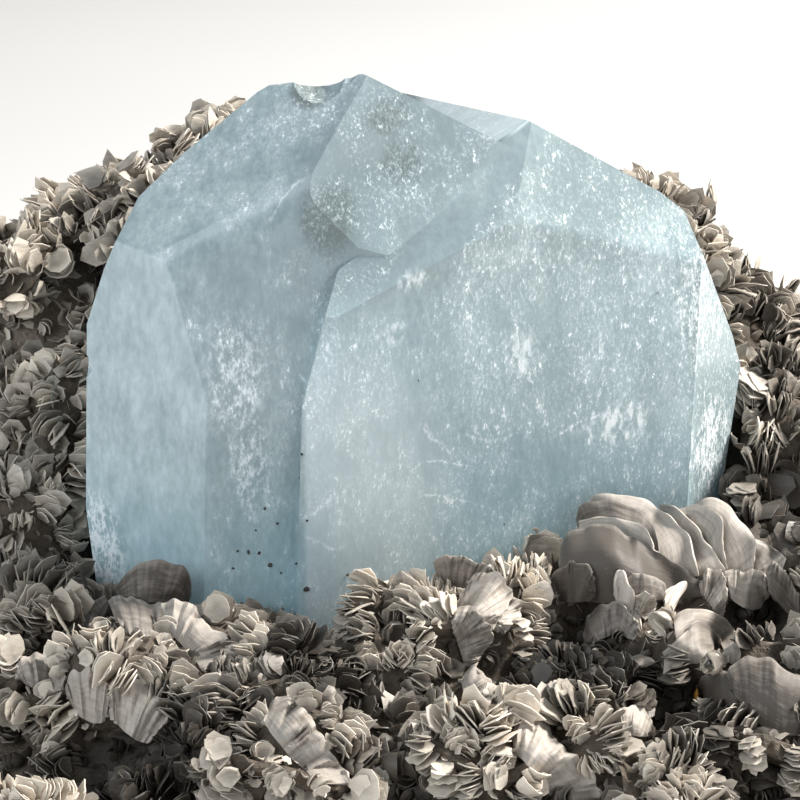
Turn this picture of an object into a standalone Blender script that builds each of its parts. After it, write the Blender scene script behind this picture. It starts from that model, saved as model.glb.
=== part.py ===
"""A pale blue crystal group standing in a matrix of mica rosettes, cut off flat to rest on.

Two pieces: barite_crystal, two prismatic individuals grown into one solid, and mica_matrix, the
lump of curved mica books that it grew on, with a socket that follows the crystal's faces.
Everything is set out from the foot of the front face of the crystal: +X to the right, +Y to the
back, +Z up. At the end the group is moved so that the middle of the flat cut is the origin.
"""

import math
import random

import bmesh
import bpy
from mathutils import Matrix, Vector, noise

MM = 0.001

# Crystal. Each face: name, bearing (0 faces the front, 90 the right), rise above level, and
# distance from the individual's centre, in degrees and millimetres.
CRYSTAL_FOOT = -6.0
LEFT_CENTRE = (-8.0, 10.0, 0.0)
LEFT_FACES = (
    ("left prism", -28, 1, 9.9),
    ("front prism", 8, 0, 7.9),
    ("inner prism", 30, 0, 9.65),
    ("left side", -94, 2, 12.6),
    ("left foot", -88, -6, 12.4),
    ("hidden right side", 78, 0, 15.2),
    ("back prism", 170, 6, 11.0),
    ("upper left", -22, 40, 21.5),
    ("upper front", -1, 9, 10.7),
    ("upper right", 16, 24, 17.2),
    ("left shoulder", -100, 24, 17.8),
    ("low shoulder", -100, 19, 16.4),
    ("middle shoulder", -112, 41, 22.0),
    ("high shoulder", -118, 44, 22.6),
    ("crest end", -133, 50, 24.6),
    ("crest left", -175, 60, 27.6),
    ("crest right", 136, 54, 28.4),
)
RIGHT_CENTRE = (6.0, 11.0, 0.0)
RIGHT_FACES = (
    ("main front", 24, 0, 5.5),
    ("left strip", 6, 0, 9.4),
    ("left edge", -98, 2, 11.1),
    ("left shoulder", -95, 14, 14.2),
    ("right front", 58, -1, 11.4),
    ("low right side", 90, -8, 15.8),
    ("right side", 95, 18, 20.2),
    ("high right side", 96, 23, 20.8),
    ("back prism", 165, 4, 15.2),
    ("bevel", 11, 30, 17.0),
    ("main upper", 32, 23, 14.4),
    ("back top", -79, 59, 24.8),
    ("high top", 128, 57, 25.5),
    ("low top", 118, 49, 25.1),
)
SOCKET_GAP = 0.3

# Chips broken out of the crystal: centre and radii of each bite, in millimetres.
CHIPS = (
    ((-5.3, 8.2, 33.3), (1.9, 2.4, 1.8)),
    ((-3.5, 7.8, 33.9), (1.1, 1.6, 0.9)),
    ((-21.1, 5.8, 14.7), (0.9, 1.1, 1.3)),
)

# Matrix. The lump stands around the crystal, low in front of it and high behind.
BASE = -12.0
LUMP_CENTRE = Vector((0.0, 9.5))
LUMP_HALF_WIDTH = 33.5
LUMP_HALF_DEPTH = 39.5
SQUARENESS = 3.2
BACK_RISE_LEFT = 22.5
BACK_RISE_RIGHT = 15.0
FRONT_FALL = 2.5
RIM_FALL = 3.5
LUMP_RINGS = 8
LUMP_SECTORS = 30
# Humps and hollows of the ground: place, height, and half-width of each, in millimetres.
SWELLS = (
    ((-13.0, -8.0), 1.8, 4.5),
    ((-21.0, -11.0), 1.5, 4.5),
    ((-5.0, -18.0), 1.5, 4.5),
    ((5.0, -19.0), 1.5, 5.0),
    ((16.0, -2.0), 1.0, 3.5),
    ((9.0, -7.5), -2.0, 3.0),
    ((20.5, -4.5), -4.0, 2.8),
    ((-15.5, -20.0), -4.0, 3.2),
    ((27.0, 10.0), -3.0, 4.0),
)

# Mica books: one rosette in each cell of a grid over the top, and a row round the side.
ROSETTE_SPACING = 9.8
ROSETTE_RADIUS = (4.0, 5.8)
BOOK_THICKNESS = (1.9, 3.0)
BOOK_RIM_SHARE = 0.45
SIDE_ROSETTES = 20
TALL_SIDE = 17.0
# Large rosettes that meet the crystal: foot, radius, books, turn about the upright in degrees.
LARGE_ROSETTES = (
    ((2.8, -5.0, -1.8), 6.0, 6, 10),
    ((14.6, 2.8, -1.6), 7.2, 3, -25),
    ((21.5, 5.0, -0.5), 6.4, 3, 35),
    ((15.6, -4.0, -3.0), 5.0, 5, 60),
    ((23.0, -12.0, -4.0), 6.4, 3, 75),
    ((-17.0, 0.0, -3.0), 5.0, 4, 130),
    ((-12.6, -7.0, -2.6), 5.4, 5, 300),
    ((-6.0, -18.5, -3.4), 6.0, 5, 200),
    ((5.0, -18.0, -3.4), 6.0, 5, 250),
)


def face_normal(bearing, rise):
    """Unit vector that points bearing degrees round from the front and rise degrees up."""
    b, r = math.radians(bearing), math.radians(rise)
    return Vector((math.sin(b) * math.cos(r), -math.cos(b) * math.cos(r), math.sin(r)))


def clear_scene():
    """Empty the file of what it opened with."""
    for old in list(bpy.data.objects):
        bpy.data.objects.remove(old, do_unlink=True)


def material(name, colour, roughness, transmission=0.0):
    """A plain Principled finish."""
    made = bpy.data.materials.new(name)
    made.use_nodes = True
    shader = made.node_tree.nodes["Principled BSDF"]
    shader.inputs["Base Color"].default_value = (*colour, 1.0)
    shader.inputs["Roughness"].default_value = roughness
    shader.inputs["Metallic"].default_value = 0.0
    shader.inputs["Transmission Weight"].default_value = transmission
    made.diffuse_color = (*colour, 1.0)
    return made


def add_object(name, bm, finish=None):
    """Turn a bmesh, worked in millimetres, into an object in metres."""
    bmesh.ops.scale(bm, vec=(MM, MM, MM), verts=bm.verts)
    mesh = bpy.data.meshes.new(name)
    bm.to_mesh(mesh)
    bm.free()
    made = bpy.data.objects.new(name, mesh)
    bpy.context.scene.collection.objects.link(made)
    if finish:
        mesh.materials.append(finish)
    return made


def triangulate(mesh):
    """Split every face into triangles, which the next Boolean reads without doubt."""
    bm = bmesh.new()
    bm.from_mesh(mesh)
    bmesh.ops.triangulate(bm, faces=bm.faces)
    bm.to_mesh(mesh)
    bm.free()


def combine(target, operation, tools):
    """Join or cut target with the tool objects, apply it, and remove the tools."""
    for tool in tools:
        boolean = target.modifiers.new(operation.lower(), "BOOLEAN")
        boolean.operation = operation
        boolean.solver = "EXACT"
        boolean.object = tool
        boolean.use_self = operation == "UNION"
        bpy.context.view_layer.update()
        depsgraph = bpy.context.evaluated_depsgraph_get()
        result = bpy.data.meshes.new_from_object(target.evaluated_get(depsgraph))
        target.modifiers.clear()
        triangulate(result)
        old = target.data
        target.data = result
        bpy.data.meshes.remove(old)
        bpy.data.objects.remove(tool, do_unlink=True)


def prism_individual(name, centre, faces, offset=0.0):
    """One crystal individual: a block cut down by its faces, each moved out by the offset."""
    bm = bmesh.new()
    bmesh.ops.create_cube(bm, size=90.0)
    cuts = [(face_normal(bearing, rise), distance) for _, bearing, rise, distance in faces]
    for normal, distance in cuts + [(Vector((0, 0, -1)), -CRYSTAL_FOOT)]:
        everything = bm.verts[:] + bm.edges[:] + bm.faces[:]
        point = Vector(centre) + normal * (distance + offset)
        cut = bmesh.ops.bisect_plane(
            bm, geom=everything, plane_co=point, plane_no=normal, clear_outer=True
        )
        rim = [item for item in cut["geom_cut"] if isinstance(item, bmesh.types.BMEdge)]
        if rim:
            bmesh.ops.holes_fill(bm, edges=rim, sides=0)
    bmesh.ops.recalc_face_normals(bm, faces=bm.faces)
    return add_object(name, bm)


def crystal_group(name, offset=0.0):
    """Both individuals grown together."""
    group = prism_individual(name, LEFT_CENTRE, LEFT_FACES, offset)
    combine(group, "UNION", [prism_individual("right", RIGHT_CENTRE, RIGHT_FACES, offset)])
    return group


def chip_cutter(centre, radii, index):
    """A rough scoop that leaves a shell-shaped bite."""
    bm = bmesh.new()
    bmesh.ops.create_icosphere(bm, subdivisions=2, radius=1.0)
    bmesh.ops.scale(bm, vec=radii, verts=bm.verts)
    turn = Matrix.Rotation(math.radians(37.0 + 53.0 * index), 3, "Y")
    bmesh.ops.rotate(bm, cent=(0, 0, 0), matrix=turn, verts=bm.verts)
    bmesh.ops.translate(bm, vec=centre, verts=bm.verts)
    return add_object("chip", bm)


def ease(t):
    """Smooth step from 0 to 1."""
    t = min(max(t, 0.0), 1.0)
    return t * t * (3.0 - 2.0 * t)


def rim_radius(angle):
    """Distance from the lump's middle to its outline, which wavers."""
    wide, deep = math.cos(angle) / LUMP_HALF_WIDTH, math.sin(angle) / LUMP_HALF_DEPTH
    corner = (abs(wide) ** SQUARENESS + abs(deep) ** SQUARENESS) ** (-1.0 / SQUARENESS)
    return corner * (0.955 + 0.055 * noise.noise(Vector((math.cos(angle), math.sin(angle), 4.0)) * 1.7))


def ground(x, y):
    """Height of the lump's top."""
    side = ease((x + LUMP_HALF_WIDTH) / (2.0 * LUMP_HALF_WIDTH))
    rise = BACK_RISE_LEFT + (BACK_RISE_RIGHT - BACK_RISE_LEFT) * side
    level = rise * ease((y - 2.0) / 38.0) - FRONT_FALL * ease((1.0 - y) / 30.0)
    swell = 1.5 * noise.noise(Vector((x / 11.0, y / 11.0, 0.3)))
    for (middle_x, middle_y), height, spread in SWELLS:
        near = ((x - middle_x) ** 2 + (y - middle_y) ** 2) / spread ** 2
        swell += height * math.exp(-near)
    offset = Vector((x, y)) - LUMP_CENTRE
    reach = offset.length / rim_radius(math.atan2(offset.y, offset.x))
    return level + swell - 1.2 - RIM_FALL * max(reach - 0.6, 0.0) ** 2 / 0.16


def matrix_lump():
    """The body of the matrix: rings over the top, a bulging side and the flat cut below."""
    bm = bmesh.new()
    top = bm.verts.new((*LUMP_CENTRE, ground(*LUMP_CENTRE)))
    rings = []
    angles = [2.0 * math.pi * k / LUMP_SECTORS for k in range(LUMP_SECTORS)]
    for ring in range(1, LUMP_RINGS + 1):
        row = []
        for angle in angles:
            distance = rim_radius(angle) * ring / LUMP_RINGS
            x = LUMP_CENTRE.x + distance * math.cos(angle)
            y = LUMP_CENTRE.y + distance * math.sin(angle)
            row.append(bm.verts.new((x, y, ground(x, y))))
        rings.append(row)
    edge = rings[-1]
    for share, bulge in ((0.35, 1.03), (0.7, 1.0), (1.0, 0.95)):
        row = []
        for angle, above in zip(angles, edge):
            distance = rim_radius(angle) * bulge
            height = above.co.z + (BASE - above.co.z) * share
            x = LUMP_CENTRE.x + distance * math.cos(angle)
            y = LUMP_CENTRE.y + distance * math.sin(angle)
            row.append(bm.verts.new((x, y, height)))
        rings.append(row)
    for k in range(LUMP_SECTORS):
        after = (k + 1) % LUMP_SECTORS
        bm.faces.new((top, rings[0][k], rings[0][after]))
        for inner, outer in zip(rings, rings[1:]):
            bm.faces.new((inner[k], outer[k], outer[after], inner[after]))
    bm.faces.new(list(reversed(rings[-1])))
    bmesh.ops.recalc_face_normals(bm, faces=bm.faces)
    return bm


def add_book(bm, place, radius, thickness, cup, corners):
    """One mica book: a cupped plate with a cornered outline, standing on the place's z axis."""
    centre = Vector((0.0, 0.0, radius * 0.45))
    sides = []
    for side in (-0.5, 0.5):
        hub = bm.verts.new(place @ (centre + Vector((0.0, side * thickness, 0.0))))
        row = []
        for k in range(corners):
            angle = 2.0 * math.pi * (k + 0.31) / corners
            flat = Vector((radius * math.cos(angle), 0.0, radius * 0.9 * math.sin(angle)))
            flat.y = side * thickness * BOOK_RIM_SHARE + cup * radius * (0.35 + 0.65 * math.sin(angle))
            row.append(bm.verts.new(place @ (centre + flat)))
        sides.append((hub, row))
    (near_hub, near), (far_hub, far) = sides
    faces = []
    for k in range(corners):
        after = (k + 1) % corners
        faces.append(bm.faces.new((near_hub, near[k], near[after])))
        faces.append(bm.faces.new((far_hub, far[after], far[k])))
        faces.append(bm.faces.new((near[k], far[k], far[after], near[after])))
    bmesh.ops.recalc_face_normals(bm, faces=faces)


def add_rosette(bm, foot, up, radius, books, turn, draw):
    """Books set round an axis like petals, leaning out from it."""
    upright = up.to_track_quat("Z", "Y").to_matrix().to_4x4()
    for k in range(books):
        spin = Matrix.Rotation(turn + 2.0 * math.pi * (k + draw.uniform(-0.2, 0.2)) / books, 4, "Z")
        lean = Matrix.Rotation(math.radians(draw.uniform(-42.0, -8.0)), 4, "X")
        out = Matrix.Translation((0.0, radius * draw.uniform(0.22, 0.42), -0.15 * radius))
        place = Matrix.Translation(foot) @ upright @ spin @ out @ lean
        size = radius * draw.uniform(0.72, 1.0)
        thickness = draw.uniform(*BOOK_THICKNESS)
        add_book(bm, place, size, thickness, draw.uniform(0.12, 0.34), draw.choice((6, 7, 8)))


def surface_up(x, y):
    """The ground's upward normal, which the rosettes stand along."""
    step = 1.5
    slope_x = (ground(x + step, y) - ground(x - step, y)) / (2.0 * step)
    slope_y = (ground(x, y + step) - ground(x, y - step)) / (2.0 * step)
    return Vector((-slope_x, -slope_y, 1.0)).normalized()


def over_crystal(x, y, room):
    """Whether a place lies under the crystal's foot, with room to spare."""
    return -20.5 + room < x < 21.5 - room and 1.5 + room < y < 26.0 - room


def matrix_rosettes(bm, draw):
    """Rosettes over the top and round the side of the lump."""
    columns = int(2.0 * LUMP_HALF_WIDTH / ROSETTE_SPACING) + 1
    rows = int(2.0 * LUMP_HALF_DEPTH / ROSETTE_SPACING) + 1
    for row in range(rows):
        for column in range(columns):
            x = (column - (columns - 1) / 2.0 + 0.25 * (-1) ** row) * ROSETTE_SPACING
            y = LUMP_CENTRE.y + (row - (rows - 1) / 2.0) * ROSETTE_SPACING
            x += draw.uniform(-1.8, 1.8)
            y += draw.uniform(-1.8, 1.8)
            radius, turn = draw.uniform(*ROSETTE_RADIUS), draw.uniform(0.0, 6.28)
            offset = Vector((x, y)) - LUMP_CENTRE
            edge = rim_radius(math.atan2(offset.y, offset.x)) - offset.length
            near_large = any(
                math.hypot(x - foot[0], y - foot[1]) < size for foot, size, _, _ in LARGE_ROSETTES
            )
            if edge > 1.5 and not near_large and not over_crystal(x, y, 1.5):
                foot = Vector((x, y, ground(x, y) - 0.5))
                add_rosette(bm, foot, surface_up(x, y), radius, 3, turn, draw)
    for k in range(SIDE_ROSETTES):
        angle = 2.0 * math.pi * (k + draw.uniform(-0.2, 0.2)) / SIDE_ROSETTES
        reach = rim_radius(angle)
        x = LUMP_CENTRE.x + reach * math.cos(angle)
        y = LUMP_CENTRE.y + reach * math.sin(angle)
        wall = ground(x, y) - BASE
        up = Vector((math.cos(angle), math.sin(angle), 0.25)).normalized()
        for share in (0.6,) if wall < TALL_SIDE else (0.3, 0.78):
            height = BASE + wall * (share + draw.uniform(-0.08, 0.08))
            foot = Vector((x, y, height)) - up * 1.6
            radius, turn = draw.uniform(*ROSETTE_RADIUS) * 0.9, draw.uniform(0.0, 6.28)
            add_rosette(bm, foot, up, radius, 2, turn, draw)
    for foot, radius, books, turn in LARGE_ROSETTES:
        add_rosette(bm, Vector(foot), Vector((0, 0, 1)), radius, books, math.radians(turn), draw)


def keep_largest(bm):
    """Drop closed pockets left inside by the union."""
    rest = set(bm.faces)
    shells = []
    while rest:
        shell, queue = set(), [rest.pop()]
        while queue:
            face = queue.pop()
            shell.add(face)
            for edge in face.edges:
                for other in edge.link_faces:
                    if other in rest:
                        rest.remove(other)
                        queue.append(other)
        shells.append(shell)
    shells.sort(key=len, reverse=True)
    lost = [face for shell in shells[1:] for face in shell]
    bmesh.ops.delete(bm, geom=lost, context="FACES")


def mica_matrix(finish):
    """The lump with its rosettes fused to it, cut flat below and socketed for the crystal."""
    bm = matrix_lump()
    matrix_rosettes(bm, random.Random(7))
    matrix = add_object("mica_matrix", bm, finish)
    floor = bmesh.new()
    bmesh.ops.create_cube(floor, size=200.0)
    bmesh.ops.translate(floor, vec=(0, 0, BASE - 100.0), verts=floor.verts)
    self_join = bmesh.new()
    bmesh.ops.create_cube(self_join, size=2.0)
    bmesh.ops.translate(self_join, vec=(0.3, 12.0, -8.7), verts=self_join.verts)
    combine(matrix, "UNION", [add_object("heart", self_join)])
    combine(matrix, "DIFFERENCE", [add_object("floor", floor), crystal_group("socket", SOCKET_GAP)])
    bm = bmesh.new()
    bm.from_mesh(matrix.data)
    keep_largest(bm)
    bmesh.ops.dissolve_limit(bm, angle_limit=math.radians(4.0), verts=bm.verts, edges=bm.edges)
    bmesh.ops.triangulate(bm, faces=bm.faces)
    bm.to_mesh(matrix.data)
    bm.free()
    return matrix


def main():
    clear_scene()
    crystal = crystal_group("barite_crystal")
    combine(crystal, "DIFFERENCE", [chip_cutter(*chip, k) for k, chip in enumerate(CHIPS)])
    crystal.data.materials.clear()
    crystal.data.materials.append(material("barite_crystal", (0.55, 0.70, 0.74), 0.12, 0.8))
    matrix = mica_matrix(material("mica_matrix", (0.52, 0.45, 0.38), 0.45))

    corners = [vertex.co for vertex in matrix.data.vertices]
    low = [min(corner[axis] for corner in corners) for axis in range(3)]
    high = [max(corner[axis] for corner in corners) for axis in range(3)]
    specimen = bpy.data.objects.new("specimen", None)
    bpy.context.scene.collection.objects.link(specimen)
    specimen.location = (-(low[0] + high[0]) / 2.0, -(low[1] + high[1]) / 2.0, -low[2])
    crystal.parent = specimen
    matrix.parent = specimen
    bpy.context.view_layer.update()
    for piece in (crystal, matrix):
        print(piece.name, len(piece.data.polygons), "faces", [round(v, 5) for v in specimen.location])


main()
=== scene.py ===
import math
import random
from functools import reduce
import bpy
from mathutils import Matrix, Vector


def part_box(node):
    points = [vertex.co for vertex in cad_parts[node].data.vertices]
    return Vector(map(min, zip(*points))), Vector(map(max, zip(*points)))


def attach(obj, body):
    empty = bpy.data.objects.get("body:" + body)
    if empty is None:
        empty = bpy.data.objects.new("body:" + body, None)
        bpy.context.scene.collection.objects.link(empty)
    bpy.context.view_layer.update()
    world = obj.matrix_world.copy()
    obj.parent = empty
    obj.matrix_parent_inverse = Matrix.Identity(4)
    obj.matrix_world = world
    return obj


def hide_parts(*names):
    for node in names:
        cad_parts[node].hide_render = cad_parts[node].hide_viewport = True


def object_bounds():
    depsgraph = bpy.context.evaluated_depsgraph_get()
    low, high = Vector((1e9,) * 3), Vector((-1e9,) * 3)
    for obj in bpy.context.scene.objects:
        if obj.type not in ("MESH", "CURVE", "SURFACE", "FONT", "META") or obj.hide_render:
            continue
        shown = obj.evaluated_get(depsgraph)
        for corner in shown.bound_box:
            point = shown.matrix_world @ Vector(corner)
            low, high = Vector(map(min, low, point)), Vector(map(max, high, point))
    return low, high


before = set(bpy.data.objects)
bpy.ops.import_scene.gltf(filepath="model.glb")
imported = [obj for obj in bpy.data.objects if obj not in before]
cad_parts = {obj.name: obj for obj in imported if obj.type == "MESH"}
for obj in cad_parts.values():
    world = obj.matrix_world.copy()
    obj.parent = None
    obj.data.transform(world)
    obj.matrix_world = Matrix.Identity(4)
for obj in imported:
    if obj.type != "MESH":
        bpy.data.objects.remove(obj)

from types import SimpleNamespace

import bmesh
import bpy
import numpy as np
from mathutils import Matrix, Vector, noise
from mathutils.bvhtree import BVHTree

CAD_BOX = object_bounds()

MM = 0.001

# Everything below is set out in millimetres from the foot of the crystal's front face, as in the
# CAD. The crystal's lowest corner in that setting-out ties it to the frame.
CRYSTAL_LOWEST = Vector((-20.79, 0.19, -6.0))
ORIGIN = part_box("barite_crystal")[0] - CRYSTAL_LOWEST * MM
SET_OUT = Matrix.Translation(ORIGIN) @ Matrix.Scale(MM, 4)

# Camera: a long lens that looks down on the crystal's broad faces.
AIM_HEIGHT = 14.1
CAMERA_DISTANCE = 220.0
CAMERA_ELEVATION = math.radians(20.0)
SENSOR = 36.0
LENS = 155.4

# The lump of the matrix and its rosettes, as in the CAD.
BASE = -12.0
LUMP_CENTRE = Vector((0.0, 9.5))
LUMP_HALF_WIDTH = 33.5
LUMP_HALF_DEPTH = 39.5
SQUARENESS = 3.2
BACK_RISE_LEFT = 22.5
BACK_RISE_RIGHT = 15.0
FRONT_FALL = 2.5
RIM_FALL = 3.5
SWELLS = (
    ((-13.0, -8.0), 1.8, 4.5),
    ((-21.0, -11.0), 1.5, 4.5),
    ((-5.0, -18.0), 1.5, 4.5),
    ((5.0, -19.0), 1.5, 5.0),
    ((16.0, -2.0), 1.0, 3.5),
    ((9.0, -7.5), -2.0, 3.0),
    ((20.5, -4.5), -4.0, 2.8),
    ((-15.5, -20.0), -4.0, 3.2),
    ((27.0, 10.0), -3.0, 4.0),
)
ROSETTE_SPACING = 9.8
ROSETTE_RADIUS = (4.0, 5.8)
ROSETTE_SEED = 7
BOOK_DRAWS = 6
BOOK_CORNERS = (6, 7, 8)
SIDE_ROSETTES = 20
TALL_SIDE = 17.0
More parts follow.
